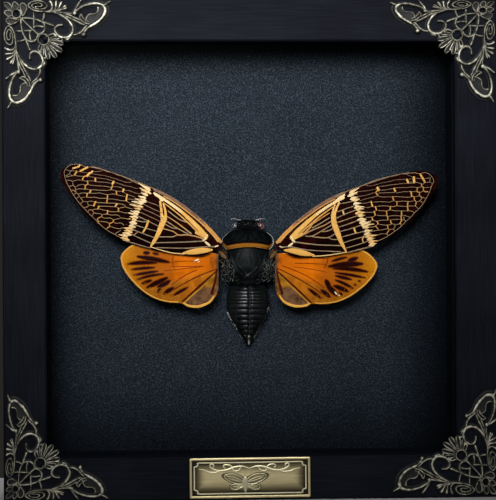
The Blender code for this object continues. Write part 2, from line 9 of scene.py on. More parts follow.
import bmesh
import bpy
import numpy as np
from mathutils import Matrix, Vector


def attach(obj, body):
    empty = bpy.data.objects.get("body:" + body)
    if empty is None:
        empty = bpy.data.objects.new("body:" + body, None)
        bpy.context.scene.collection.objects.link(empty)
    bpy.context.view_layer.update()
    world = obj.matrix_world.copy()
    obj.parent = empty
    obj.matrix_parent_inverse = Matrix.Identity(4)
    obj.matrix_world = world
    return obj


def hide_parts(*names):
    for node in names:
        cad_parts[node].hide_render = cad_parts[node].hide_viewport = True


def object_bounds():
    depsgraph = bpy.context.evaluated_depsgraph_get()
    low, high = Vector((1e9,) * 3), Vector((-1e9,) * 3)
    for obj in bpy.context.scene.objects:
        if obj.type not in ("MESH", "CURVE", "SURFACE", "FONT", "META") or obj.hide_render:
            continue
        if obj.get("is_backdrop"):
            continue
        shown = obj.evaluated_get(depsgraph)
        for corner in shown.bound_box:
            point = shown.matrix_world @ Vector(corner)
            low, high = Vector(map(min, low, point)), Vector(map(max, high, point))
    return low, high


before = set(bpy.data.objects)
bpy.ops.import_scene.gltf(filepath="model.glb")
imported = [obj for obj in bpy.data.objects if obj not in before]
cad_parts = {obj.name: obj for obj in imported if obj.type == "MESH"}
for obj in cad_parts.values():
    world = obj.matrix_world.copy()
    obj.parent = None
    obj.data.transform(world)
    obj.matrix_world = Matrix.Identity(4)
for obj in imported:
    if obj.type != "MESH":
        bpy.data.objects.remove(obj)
cad_bounds = [list(corner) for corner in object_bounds()]

MM = 0.001
RANDOM = np.random.default_rng(7)

FRAME_WIDTH = 185.0
FRAME_HEIGHT = 187.0
FRONT_Y = -16.55
BOARD_FRONT = 22.2
TOUCH = 0.3
BODY_X = -0.9
BODY_Z = FRAME_HEIGHT / 2


def at_depth(depth):
    """World Y of a depth below the front face of the rails."""
    return FRONT_Y + depth


def on_board(u, v, h):
    """World places of points of the insect."""
    u, v, h = np.broadcast_arrays(u, v, h)
    return np.stack([BODY_X + u, at_depth(BOARD_FRONT - h), BODY_Z + v], axis=-1)


# Curves


def catmull(points, steps, closed=False):
    """A smooth curve through rows of any number of columns, with even steps in its own measure."""
    rows = np.array(points, float)
    if closed:
        rows = np.vstack([rows, rows[:1]])
    gaps = np.linalg.norm(np.diff(rows, axis=0), axis=1)
    reach = np.concatenate([[0.0], np.cumsum(np.maximum(gaps, 1e-6))])
    want = np.linspace(0.0, reach[-1], steps + 1)
    at = np.clip(np.searchsorted(reach, want + 1e-9, "right") - 1, 0, len(rows) - 2)
    f = ((want - reach[at]) / (reach[at + 1] - reach[at]))[:, None]
    if closed:
        unique = len(rows) - 1
        before = rows[(at - 1) % unique]
        after = rows[(at + 2) % unique]
    else:
        before = rows[np.maximum(at - 1, 0)]
        after = rows[np.minimum(at + 2, len(rows) - 1)]
    p1 = rows[at]
    p2 = rows[at + 1]
    curve = 0.5 * (2 * p1 + (p2 - before) * f + (2 * before - 5 * p1 + 4 * p2 - after) * f ** 2
                   + (3 * p1 - before - 3 * p2 + after) * f ** 3)
    return curve[:-1] if closed else curve


def drawn(points, spacing, closed=False):
    """A smooth curve through plane points, with about one point for each spacing."""
    rows = np.array(points, float)
    length = np.linalg.norm(np.diff(rows[:, :2], axis=0), axis=1).sum()
    return catmull(rows, max(int(math.ceil(length / spacing)), 3), closed)


def smooth_step(value, low, high):
    """0 below low, 1 above high and smooth in between."""
    f = np.clip((value - low) / (high - low), 0.0, 1.0)
    return f * f * (3 - 2 * f)


def bump_at(value, centre, half):
    """A smooth hill of height 1 at the centre that ends half away from it."""
    f = np.clip(1 - ((value - centre) / half) ** 2, 0.0, 1.0)
    return f * f


def depth_inside(places, lines):
    """How far plane places lie inside the nearest of some lines with widths, negative outside."""
    best = np.full(len(places), -1e9)
    for line in lines:
        rows = drawn(line, 0.25)
        for one, two in zip(rows[:-1], rows[1:]):
            ahead = two[:2] - one[:2]
            f = np.clip((places - one[:2]) @ ahead / max(ahead @ ahead, 1e-9), 0.0, 1.0)
            away = np.hypot(*(places - one[:2] - f[:, None] * ahead).T)
            best = np.maximum(best, (one[2] + (two[2] - one[2]) * f) / 2 - away)
    return best


# Pieces


class Piece:
    """A mesh gathered in millimetres with marks on its points, made into one named object."""

    def __init__(self):
        self.places = []
        self.faces = []
        self.marks = {}
        self.count = 0

    def add(self, places, faces, **marks):
        """Take in points and faces; each mark is one number or one for each point."""
        places = np.asarray(places, float)
        for name, values in marks.items():
            values = np.broadcast_to(np.asarray(values, float), len(places))
            self.marks.setdefault(name, []).append((self.count, values))
        self.places.append(places)
        self.faces += [tuple(i + self.count for i in face) for face in faces]
        self.count += len(places)

    def finish(self, name, finish, slot, nodes, smooth_degrees=50):
        """Make the object, in metres, riding on the frame in place of its CAD nodes."""
        data = bpy.data.meshes.new(name)
        data.from_pydata((np.vstack(self.places) * MM).tolist(), [], self.faces)
        mesh = bmesh.new()
        mesh.from_mesh(data)
        bmesh.ops.recalc_face_normals(mesh, faces=mesh.faces)
        mesh.to_mesh(data)
        mesh.free()
        data.shade_smooth()
        data.set_sharp_from_angle(angle=math.radians(smooth_degrees))
        for mark, parts in self.marks.items():
            values = np.zeros(self.count, np.float32)
            for start, part in parts:
                values[start:start + len(part)] = part
            data.attributes.new(mark, "FLOAT", "POINT").data.foreach_set("value", values)
        data.materials.append(finish)
        made = bpy.data.objects.new(name, data)
        bpy.context.scene.collection.objects.link(made)
        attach(made, "root")
        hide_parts(*nodes)
        return made


def tube_faces(rings, sides):
    """Faces of a closed tube of rings, with flat ends."""
    faces = []
    for i in range(rings - 1):
        low = i * sides
        for k in range(sides):
            j = (k + 1) % sides
            faces.append((low + k, low + j, low + sides + j, low + sides + k))
    faces.append(tuple(range(sides)))
    faces.append(tuple(range((rings - 1) * sides, rings * sides)))
    return faces


def loft(piece, rings, place, **marks):
    """A closed body through rings with the same number of points (a, b, c) each."""
    places = np.vstack(rings)
    piece.add(place(*places.T), tube_faces(len(rings), len(rings[0])), **marks)


def circle(centre, radius, third, count=10):
    """A ring of points (a, b) that share a third number, a width or a height."""
    turns = np.linspace(0, 2 * math.pi, count, endpoint=False)
    return np.column_stack([centre[0] + radius * np.cos(turns), centre[1] + radius * np.sin(turns),
                            np.full(count, third)])


# Cross sections of raised lines: across from -1 to 1, then the share of the rise
ROUND = [(-1.0, 0.0), (-0.87, 0.5), (-0.5, 0.87), (0.0, 1.0), (0.5, 0.87), (0.87, 0.5), (1.0, 0.0)]
SLIM = [(-1.0, 0.0), (-0.6, 0.8), (0.0, 1.0), (0.6, 0.8), (1.0, 0.0)]
FLAT = [(-1.0, 0.0), (-0.9, 0.75), (-0.6, 1.0), (0.6, 1.0), (0.9, 0.75), (1.0, 0.0)]
BANDED = [(-1.0, 0.0), (-0.93, 0.6), (-0.72, 1.0), (-0.5, 0.95), (-0.22, 0.45), (0.22, 0.45),
          (0.5, 0.95), (0.72, 1.0), (0.93, 0.6), (1.0, 0.0)]
# Rings of a rounded end: how far out, then the share of the width and the rise
END_SHARES = [(0.98, 0.2), (0.87, 0.5), (0.5, 0.87)]


def stroke(piece, points, rise, place, profile=ROUND, base=0.0, closed=False, spacing=0.4, **marks):
    """A raised line of rows (a, b, width) drawn on a surface, its open ends rounded."""
    line = drawn(points, spacing, closed)
    centres = line[:, :2]
    halves = line[:, 2] / 2
    if closed:
        ahead = np.roll(centres, -1, axis=0) - np.roll(centres, 1, axis=0)
    else:
        ahead = np.gradient(centres, axis=0)
    ahead /= np.maximum(np.linalg.norm(ahead, axis=1), 1e-9)[:, None]
    shares = np.ones(len(line))
    if not closed:
        first = [centres[0] - ahead[0] * halves[0] * out for out, _ in END_SHARES]
        last = [centres[-1] + ahead[-1] * halves[-1] * out for out, _ in reversed(END_SHARES)]
        centres = np.vstack([first, centres, last])
        ahead = np.vstack([[ahead[0]] * 3, ahead, [ahead[-1]] * 3])
        halves = np.concatenate([[halves[0]] * 3, halves, [halves[-1]] * 3])
        ends = [share for _, share in END_SHARES]
        shares = np.concatenate([ends, shares, ends[::-1]])
    across = np.stack([-ahead[:, 1], ahead[:, 0]], axis=1)
    shape = np.array(profile)
    reach = (halves * shares)[:, None, None]
    flat = centres[:, None] + across[:, None] * reach * shape[None, :, :1]
    up = base + rise * shares[:, None] * shape[None, :, 1]
    sides = len(profile)
    rings = len(centres)
    places = place(flat[..., 0].ravel(), flat[..., 1].ravel(), up.ravel())
    crest = np.broadcast_to(shape[None, :, 1], (rings, sides)).ravel()
    faces = tube_faces(rings, sides)
    if closed:
        faces = faces[:-2]
        low = (rings - 1) * sides
        faces += [(low + k, low + (k + 1) % sides, (k + 1) % sides, k) for k in range(sides)]
    piece.add(places, faces, crest=crest, **marks)


def with_width(points, *widths):
    """Rows (a, b) with a width that runs evenly through the given widths."""
    rows = np.array(points, float)[:, :2]
    at = np.linspace(0.0, 1.0, len(widths)) if len(widths) > 1 else [0.0]
    share = np.linspace(0.0, 1.0, len(rows))
    return np.column_stack([rows, np.interp(share, at, widths)])


def bowed(start, end, bow, *widths):
    """A line between two plane points, bowed to its left by so much, with widths along it."""
    share = np.linspace(0.0, 1.0, 5)[:, None]
    one, two = np.array(start, float), np.array(end, float)
    ahead = (two - one) / np.linalg.norm(two - one)
    aside = np.array([-ahead[1], ahead[0]])
    return with_width(one + share * (two - one) + bow * np.sin(math.pi * share) * aside, *widths)


def inset(edge, by, start, stop, *widths):
    """A line to the left of a smooth edge, over a share of its length."""
    curve = catmull(edge, 60)
    ahead = np.gradient(curve, axis=0)
    ahead /= np.linalg.norm(ahead, axis=1)[:, None]
    moved = curve + by * np.column_stack([-ahead[:, 1], ahead[:, 0]])
    at = np.linspace(start, stop, 16) * 60
    return with_width(np.column_stack([np.interp(at, np.arange(61), column) for column in moved.T]),
                      *widths)


def shrinking(loop, spacing, steps):
    """Rings of an outline, each scaled about its middle by a share and raised by a height."""
    edge = drawn(with_width(loop, 0.1), spacing, closed=True)[:, :2]
    middle = edge.mean(axis=0)
    return [np.column_stack([middle + (edge - middle) * share, np.full(len(edge), up)])
            for share, up in steps]


# Finishes


class Signal:
    """A number worked out by a finish's nodes, used in ordinary arithmetic."""

    def __init__(self, finish, socket):
        self.finish = finish
        self.socket = socket

    def _maths(self, operation, one, two=0.0, clamp=False):
        settings = {"operation": operation, "use_clamp": clamp}
        return self.finish.node("ShaderNodeMath", settings, {0: one, 1: two})

    def __add__(self, other):
        return self._maths("ADD", self, other)

    __radd__ = __add__

    def __sub__(self, other):
        return self._maths("SUBTRACT", self, other)

    def __rsub__(self, other):
        return self._maths("SUBTRACT", other, self)

    def __mul__(self, other):
        return self._maths("MULTIPLY", self, other)

    __rmul__ = __mul__

    def clamped(self):
        """The same number kept between 0 and 1."""
        return self._maths("ADD", self, 0.0, clamp=True)

    def ramp(self, low, high):
        """0 below low, 1 above high and smooth in between."""
        settings = {"interpolation_type": "SMOOTHSTEP"}
        inputs = {"Value": self, "From Min": low, "From Max": high}
        return self.finish.node("ShaderNodeMapRange", settings, inputs)


class Finish:
    """A material whose look is worked out by nodes from places and marks on the mesh."""

    def __init__(self, name, roughness=0.5, metallic=0.0, coat=0.0, level=0.5):
        self.material = bpy.data.materials.new(name)
        self.material.use_nodes = True
        self.tree = self.material.node_tree
        self.shader = self.tree.nodes["Principled BSDF"]
        self.set("Roughness", roughness)
        self.set("Metallic", metallic)
        self.set("Coat Weight", coat)
        self.set("Specular IOR Level", level)
        texture = self.tree.nodes.new("ShaderNodeTexCoord")
        scaled = self.tree.nodes.new("ShaderNodeVectorMath")
        scaled.operation = "SCALE"
        scaled.inputs["Scale"].default_value = 1 / MM
        self.tree.links.new(texture.outputs["Object"], scaled.inputs[0])
        self.places = scaled.outputs[0]

    def feed(self, socket, value):
        """Set a socket to a constant or link it."""
        if isinstance(value, Signal):
            value = value.socket
        if isinstance(value, bpy.types.NodeSocket):
            self.tree.links.new(value, socket)
        elif isinstance(value, (tuple, list)) and len(socket.default_value) == 4:
            socket.default_value = (*value[:3], 1.0)
        else:
            socket.default_value = value

    def node(self, kind, settings, inputs, output=0):
        """Any node, its settings first and then its inputs."""
        made = self.tree.nodes.new(kind)
        for name, value in settings.items():
            setattr(made, name, value)
        for name, value in inputs.items():
            self.feed(made.inputs[name], value)
        return Signal(self, made.outputs[output])

    def set(self, socket, value):
        """Give the surface shader one of its inputs."""
        self.feed(self.shader.inputs[socket], value)

    def axes(self):
        """The three places in millimetres as numbers."""
        made = self.tree.nodes.new("ShaderNodeSeparateXYZ")
        self.feed(made.inputs[0], self.places)
        return [Signal(self, output) for output in made.outputs]

    def mark(self, name):
        """A number carried by the mesh's points."""
        return self.node("ShaderNodeAttribute", {"attribute_name": name}, {}, "Fac")

    def stretched(self, stretch):
        """Places in millimetres, scaled along each axis."""
        settings = {"vector_type": "POINT"}
        return self.node("ShaderNodeMapping", settings, {"Vector": self.places, "Scale": stretch})

    def noise(self, size, detail=3.0, rough=0.5, stretch=None):
        """Soft noise from 0 to 1 with features of about a size in millimetres."""
        vector = self.places if stretch is None else self.stretched(stretch)
        inputs = {"Vector": vector, "Scale": 1 / size, "Detail": detail, "Roughness": rough}
        return self.node("ShaderNodeTexNoise", {}, inputs)

    def cells(self, size):
        """Distance pattern of cells of about a size in millimetres."""
        return self.node("ShaderNodeTexVoronoi", {}, {"Vector": self.places, "Scale": 1 / size})

    def mix(self, share, one, two):
        """A colour between two colours."""
        settings = {"data_type": "RGBA"}
        return self.node("ShaderNodeMix", settings, {0: share, 6: one, 7: two}, 2)

    def colours(self, value, stops):
        """A colour picked from stops (position, colour) by a value from 0 to 1."""
        made = self.tree.nodes.new("ShaderNodeValToRGB")
        ramp = made.color_ramp
        while len(ramp.elements) < len(stops):
            ramp.elements.new(0.5)
        for element, (position, colour) in zip(ramp.elements, stops):
            element.position = position
            element.color = (*colour, 1.0)
        self.feed(made.inputs[0], value)
        return Signal(self, made.outputs[0])

    def height(self, value, distance, strength=1.0):
        """Bend the surface by a height from 0 to 1 over a distance in millimetres."""
        inputs = {"Height": value, "Distance": distance * MM, "Strength": strength}
        self.set("Normal", self.node("ShaderNodeBump", {}, inputs))


def paint(names, finish):
    """Give carried-over CAD nodes a finish."""
    for name in names:
        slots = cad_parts[name].data.materials
        slots.clear()
        slots.append(finish.material)


def finish_wood(name, along_x):
    """Satin black paint over fine grain, worn a little lighter along the grain."""
    made = Finish(name, level=0.02)
    stretch = (0.03, 1.0, 1.0) if along_x else (1.0, 1.0, 0.03)
    grain = made.noise(0.5, 4.0, 0.65, stretch)
    cloud = made.noise(25.0, 2.0)
    made.set("Base Color", made.mix((grain * 0.7 + cloud * 0.3).ramp(0.34, 0.70),
                                    (0.0038, 0.0044, 0.0066), (0.0096, 0.0109, 0.0156)))
    made.set("Roughness", 0.46 + grain * 0.16)
    made.height(grain, 0.06, 0.5)
    return made


def finish_glass():
    """Clear glass, faintly uneven."""
    made = Finish("clear glass", roughness=0.2, level=0.04)
    made.set("Base Color", made.mix(made.noise(60.0), (0.002, 0.003, 0.003), (0.006, 0.008, 0.008)))
    made.set("Alpha", 0.012)
    return made


def finish_lining():
    """Matt black card."""
    made = Finish("black lining", roughness=0.85, level=0.06)
    fibre = made.noise(0.4, 5.0, 0.7)
    made.set("Base Color", made.mix(fibre, (0.0012, 0.0018, 0.0035), (0.003, 0.0045, 0.0085)))
    made.height(fibre, 0.05, 0.5)
    return made


BOARD_LOW = (0.0035, 0.0065, 0.0100)
BOARD_HIGH = (0.035, 0.046, 0.060)
# Distance of the board's visible left, right, bottom and top edges from the middle or the floor,
# from which its painted edge shade is measured
BOARD_EDGE = (76.0, 76.0, 16.5, 171.0)


def finish_board():
    """Dark blue-grey board with a fine pressed grain, with painted shade darkening it towards its
    edges.
    """
    made = Finish("blue black board", level=0.04)
    pores = made.cells(0.5)
    grain = made.noise(0.4, 4.0, 0.7)
    cloud = made.noise(30.0, 2.0)
    relief = (pores * 0.7 + grain * 0.8).ramp(0.42, 0.98)
    full = made.mix((relief * 0.8 + cloud * 0.3).clamped(), BOARD_LOW, BOARD_HIGH)
    # Painted shade: the board is mixed to near black towards all four edges, widest at the bottom
    x, _, z = made.axes()
    painted_edge_shade = (x + BOARD_EDGE[0]).ramp(-9.0, 18.0) * (BOARD_EDGE[1] - x).ramp(-6.0, 27.0)
    painted_edge_shade = painted_edge_shade * (BOARD_EDGE[3] - z).ramp(-8.0, 9.0) * (z - BOARD_EDGE[2]).ramp(-18.0, 36.0)
    made.set("Base Color", made.mix(painted_edge_shade, (0.0014, 0.0019, 0.0034), full))
    made.set("Roughness", 0.62 + grain * 0.25)
    made.height(relief, 0.4, 1.0)
    return made


def finish_fibreboard():
    """Raw hardboard, brown and felted."""
    made = Finish("brown fibreboard", roughness=0.9, level=0.2)
    fibre = made.noise(0.7, 6.0, 0.75, (1.0, 1.0, 0.6))
    cloud = made.noise(12.0, 3.0)
    made.set("Base Color", made.mix((fibre * 0.7 + cloud * 0.4).clamped(),
                                    (0.12, 0.065, 0.032), (0.27, 0.165, 0.09)))
    made.height(fibre, 0.12, 0.5)
    return made


def finish_steel():
    """Thin zinc-plated steel, a little scratched."""
    made = Finish("plated steel", metallic=1.0)
    scratch = made.noise(0.3, 4.0, 0.6, (0.08, 1.0, 1.0))
    cloud = made.noise(3.0, 3.0)
    made.set("Base Color", made.mix(cloud, (0.42, 0.42, 0.41), (0.62, 0.62, 0.59)))
    made.set("Roughness", 0.28 + scratch * 0.25)
    made.height(scratch, 0.02, 0.5)
    return made


def finish_bronze():
    """Aged bronze: dark in the hollows and rubbed bright on the crests, the low feet of its lines
    dark as patina and as painted shadow.
    """
    made = Finish("aged bronze", metallic=0.5)
    crest = made.mark("crest")
    blotch = made.noise(1.6, 4.0, 0.6)
    grit = made.noise(0.25, 3.0, 0.6)
    worn = (crest * 2.3 + blotch * 2.2 + grit * 0.6 - 2.85).clamped()
    stops = [(0.0, (0.006, 0.006, 0.005)), (0.36, (0.045, 0.044, 0.038)),
             (0.60, (0.23, 0.215, 0.165)), (1.0, (0.62, 0.585, 0.46))]
    made.set("Base Color", made.colours(worn, stops))
    made.set("Roughness", 0.62 - worn * 0.14)
    made.height(grit * 0.5 + blotch * 0.5, 0.08, 0.6)
    return made


def finish_brass():
    """Brass brushed along its length, its grooves darkened and a painted shadow laid round the
    emblem.
    """
    made = Finish("brushed brass", metallic=0.9)
    # Dark: darkened grooves, and painted shadow round the emblem
    dark = made.mark("dark")
    crest = made.mark("crest")
    brush = made.noise(0.35, 4.0, 0.7, (0.05, 1.0, 1.0))
    streak = made.noise(1.6, 2.0, 0.5, (0.1, 1.0, 1.0))
    shade = (dark + (streak - 0.5) * 0.35 + (brush - 0.5) * 0.3).clamped()
    stops = [(0.0, (0.70, 0.585, 0.32)), (0.45, (0.22, 0.18, 0.095)), (1.0, (0.022, 0.017, 0.010))]
    base = made.colours(shade, stops)
    made.set("Base Color", made.mix(crest.ramp(0.55, 1.0) * (1 - dark), base, (0.95, 0.88, 0.60)))
    made.set("Roughness", 0.34 + brush * 0.22)
    made.height(brush, 0.03, 0.5)
    return made


def finish_cuticle(name, level, grey):
    """Dried black cuticle with marks for its orange collar, brown joints and pale edges, the pale
    mark also carrying painted highlights.
    """
    made = Finish(name, level=level)
    wrinkle = made.noise(0.9, 4.0, 0.6)
    fine = made.noise(0.22, 3.0, 0.6)
    cloud = made.noise(4.0, 2.0)
    black = made.mix((wrinkle * 0.7 + cloud * 0.4).ramp(0.42, 0.72),
                     (0.0005, 0.0009, 0.0011), (0.8 * grey, 1.1 * grey, 1.2 * grey))
    brown = made.mix((wrinkle * 1.3 - 0.2).clamped(), (0.045, 0.022, 0.009), (0.24, 0.13, 0.05))
    colour = made.mix((made.mark("brown") + (wrinkle - 0.5) * 0.5).ramp(0.3, 0.7), black, brown)
    band = made.mark("band") + (fine - 0.5) * 0.25
    rust = made.mix(band.ramp(-0.55, -0.1), colour, (0.045, 0.009, 0.003))
    orange = made.mix((cloud * 0.7 + fine * 0.5 - 0.1).clamped(), (0.18, 0.055, 0.005),
                      (0.38, 0.155, 0.016))
    colour = made.mix(band.ramp(-0.12, 0.12), rust, orange)
    # Pale: real pale hairs and edges, and painted highlights where light glints on ridges, rims,
    # eyes and grains
    colour = made.mix(made.mark("pale").ramp(0.2, 0.8), colour, (0.52, 0.53, 0.47))
    made.set("Base Color", colour)
    made.set("Roughness", (0.24 + wrinkle * 0.16 + made.mark("dull") * 0.36
                           + made.mark("band").ramp(-0.2, 0.2) * 0.2).clamped())
    made.height(wrinkle * 0.65 + fine * 0.35, 0.16, 0.55)
    return made


def finish_bristle():
    """Pale grey horn of the antennae, darker in rings."""
    made = Finish("pale bristle", roughness=0.4)
    ring = made.noise(0.35, 2.0)
    made.set("Base Color", made.mix(ring.ramp(0.3, 0.7), (0.16, 0.15, 0.14), (0.52, 0.50, 0.46)))
    made.height(ring, 0.03, 0.4)
    return made


def finish_eye(warm):
    """Glossy dried eye with a fine facet net."""
    made = Finish("eye right" if warm else "eye left", roughness=0.14, coat=0.5)
    facets = made.cells(0.16)
    cloud = made.noise(0.8, 2.0)
    if warm:
        made.set("Base Color", made.mix(cloud.ramp(0.35, 0.65), (0.012, 0.004, 0.004),
                                        (0.20, 0.045, 0.045)))
    else:
        made.set("Base Color", made.mix(cloud.ramp(0.35, 0.65), (0.012, 0.009, 0.010),
                                        (0.085, 0.075, 0.08)))
    made.height(facets, 0.03, 0.5)
    return made


# Colours of the forewing's veins by their tone
VEIN_TONES = [(0.0, (0.06, 0.014, 0.004)), (0.22, (0.17, 0.080, 0.052)),
              (0.38, (0.27, 0.205, 0.125)), (0.5, (0.52, 0.23, 0.06)),
              (0.75, (0.68, 0.36, 0.08)), (1.0, (0.78, 0.61, 0.35))]


def finish_forewing():
    """Dark maroon membrane between raised veins whose tone is a mark."""
    made = Finish("forewing", level=0.01)
    vein = made.mark("vein")
    tone = made.mark("tone")
    shade = made.mark("shade")
    cloud = made.noise(2.2, 3.0, 0.6)
    fine = made.noise(0.35, 3.0, 0.6)
    warm = (shade * 0.8 + (cloud - 0.5) * 1.0 + (fine - 0.5) * 0.5).clamped()
    stops = [(0.0, (0.0015, 0.0001, 0.0001)), (0.4, (0.005, 0.0003, 0.0001)),
             (0.75, (0.022, 0.002, 0.0004)), (1.0, (0.08, 0.013, 0.0015))]
    membrane = made.colours(warm, stops)
    lit = made.colours((tone + (cloud - 0.5) * 0.24 + (fine - 0.5) * 0.3).clamped(), VEIN_TONES)
    made.set("Base Color", made.mix(vein.ramp(0.3, 0.7), membrane, lit))
    made.set("Roughness", 0.5 + fine * 0.2)
    made.height(fine * 0.5 + cloud * 0.5, 0.05, 0.5)
    return made


def finish_hindwing():
    """Orange membrane, amber to its edge, with black streaks, red-brown veins and a dusky lobe."""
    made = Finish("hindwing", level=0.015)
    reach = made.mark("reach")
    cloud = made.noise(2.6, 3.0, 0.6)
    fine = made.noise(0.4, 3.0, 0.6)
    stops = [(0.0, (0.16, 0.04, 0.002)), (0.03, (0.24, 0.055, 0.002)),
             (0.07, (0.44, 0.095, 0.001)), (0.36, (0.62, 0.135, 0.001)),
             (0.50, (0.36, 0.080, 0.002)), (0.8, (0.34, 0.105, 0.003)),
             (1.0, (0.52, 0.190, 0.005))]
    base = made.colours((reach + (cloud - 0.5) * 0.24 + (fine - 0.5) * 0.12).clamped(), stops)
    olive = made.mix(cloud.ramp(0.3, 0.7), (0.14, 0.050, 0.003), (0.36, 0.150, 0.010))
    base = made.mix((made.mark("olive") + (fine - 0.5) * 0.2).ramp(0.2, 0.9), base, olive)
    dusk = made.mix(cloud.ramp(0.3, 0.7), (0.055, 0.024, 0.009), (0.17, 0.080, 0.036))
    base = made.mix((made.mark("lobe") + (cloud - 0.5) * 0.5).ramp(0.3, 0.8), base, dusk)
    streak = made.mark("streak") + (fine - 0.5) * 0.30 + (cloud - 0.5) * 0.2
    rust = made.mix(streak.ramp(-0.55, -0.05), base, (0.12, 0.022, 0.002))
    base = made.mix(streak.ramp(-0.10, 0.12), rust, (0.013, 0.0013, 0.0008))
    # Painted highlight: pale cream glare patches on the membrane
    base = made.mix(made.mark("glare").ramp(0.1, 0.7), base, (0.90, 0.70, 0.42))
    veins = [(0.0, (0.050, 0.006, 0.002)), (0.35, (0.22, 0.038, 0.002)), (0.6, (0.42, 0.15, 0.012)),
             (1.0, (0.74, 0.38, 0.07))]
    lit = made.colours((made.mark("tone") + (fine - 0.5) * 0.15).clamped(), veins)
    made.set("Base Color", made.mix(made.mark("vein").ramp(0.3, 0.7), base, lit))
    made.set("Roughness", 0.34 + fine * 0.2)
    made.height(fine * 0.4 + cloud * 0.6, 0.08, 0.6)
    return made


# Corner castings, drawn for one half: a along the top or bottom edge and b along the side

SHELL_CENTRE = 15.5
# Each corner: side in x, side in z, shift along a and b, turn in degrees
CORNERS = {
    "corner_ornament_top_left": (-1, 1, 0.2, 0.2, -1.3),
    "corner_ornament_top_right": (1, 1, -0.2, -1.6, 0.3),
    "corner_ornament_bottom_right": (1, -1, -1.0, 0.4, 2.0),
    "corner_ornament_bottom_left": (-1, -1, -1.8, -0.9, -0.8),
}
EDGE_KEEP = 0.25
EDGE_KNEE = 6.0
TURN_SLACK = 1.0
CAST_WIDER = 1.32
# Cross section of a casting's line with a low dark foot each side: patina, and painted shadow where
# the line meets the rail
PATINA_AND_SHADOW_FOOT = [(-1.6, 0.0), (-1.55, 0.12), (-1.0, 0.2), (-0.8, 0.6), (-0.45, 0.9)]
CAST_LINE = PATINA_AND_SHADOW_FOOT + [(0.0, 1.0)] + [(-across, up) for across, up in reversed(PATINA_AND_SHADOW_FOOT)]


def squeeze(value, shift):
    """Keep a casting that sits near the frame's edge from passing it."""
    lowest = min(shift - TURN_SLACK, 0.0)
    near = EDGE_KEEP + (value - lowest) * (EDGE_KNEE - EDGE_KEEP) / (EDGE_KNEE - lowest)
    return np.where(value >= EDGE_KNEE, value, near)


def corner_place(side_x, side_z, shift_a, shift_b, turn):
    """Where points of a corner casting lie on the front of the frame."""
    angle = math.radians(turn)

    def place(a, b, d):
        da = a - SHELL_CENTRE
        db = b - SHELL_CENTRE
        out_a = SHELL_CENTRE + shift_a + da * math.cos(angle) - db * math.sin(angle)
        out_b = SHELL_CENTRE + shift_b + da * math.sin(angle) + db * math.cos(angle)
        x = side_x * (FRAME_WIDTH / 2 - squeeze(out_a, shift_a))
        z = FRAME_HEIGHT / 2 + side_z * (FRAME_HEIGHT / 2 - squeeze(out_b, shift_b))
        return np.stack([x, at_depth(-TOUCH - d) + 0 * x, z], axis=-1)

    return place


# Outlined petals round the hub, closed loops
HUB_PETALS = [
    [(3.9, 4.7), (2.8, 4.4), (1.4, 4.2), (0.5, 5.0), (1.2, 6.0), (2.2, 6.6), (3.4, 6.3),
     (3.8, 5.6)],
    [(5.2, 7.8), (3.6, 7.3), (1.8, 7.3), (1.1, 8.2), (1.7, 9.1), (3.2, 9.6), (4.8, 9.2), (6.2, 8.5),
     (6.6, 7.9)],
]
CORNER_PETAL = [(3.8, 3.8), (2.4, 3.6), (1.0, 2.4), (0.5, 0.8), (2.4, 1.0), (3.6, 2.4)]

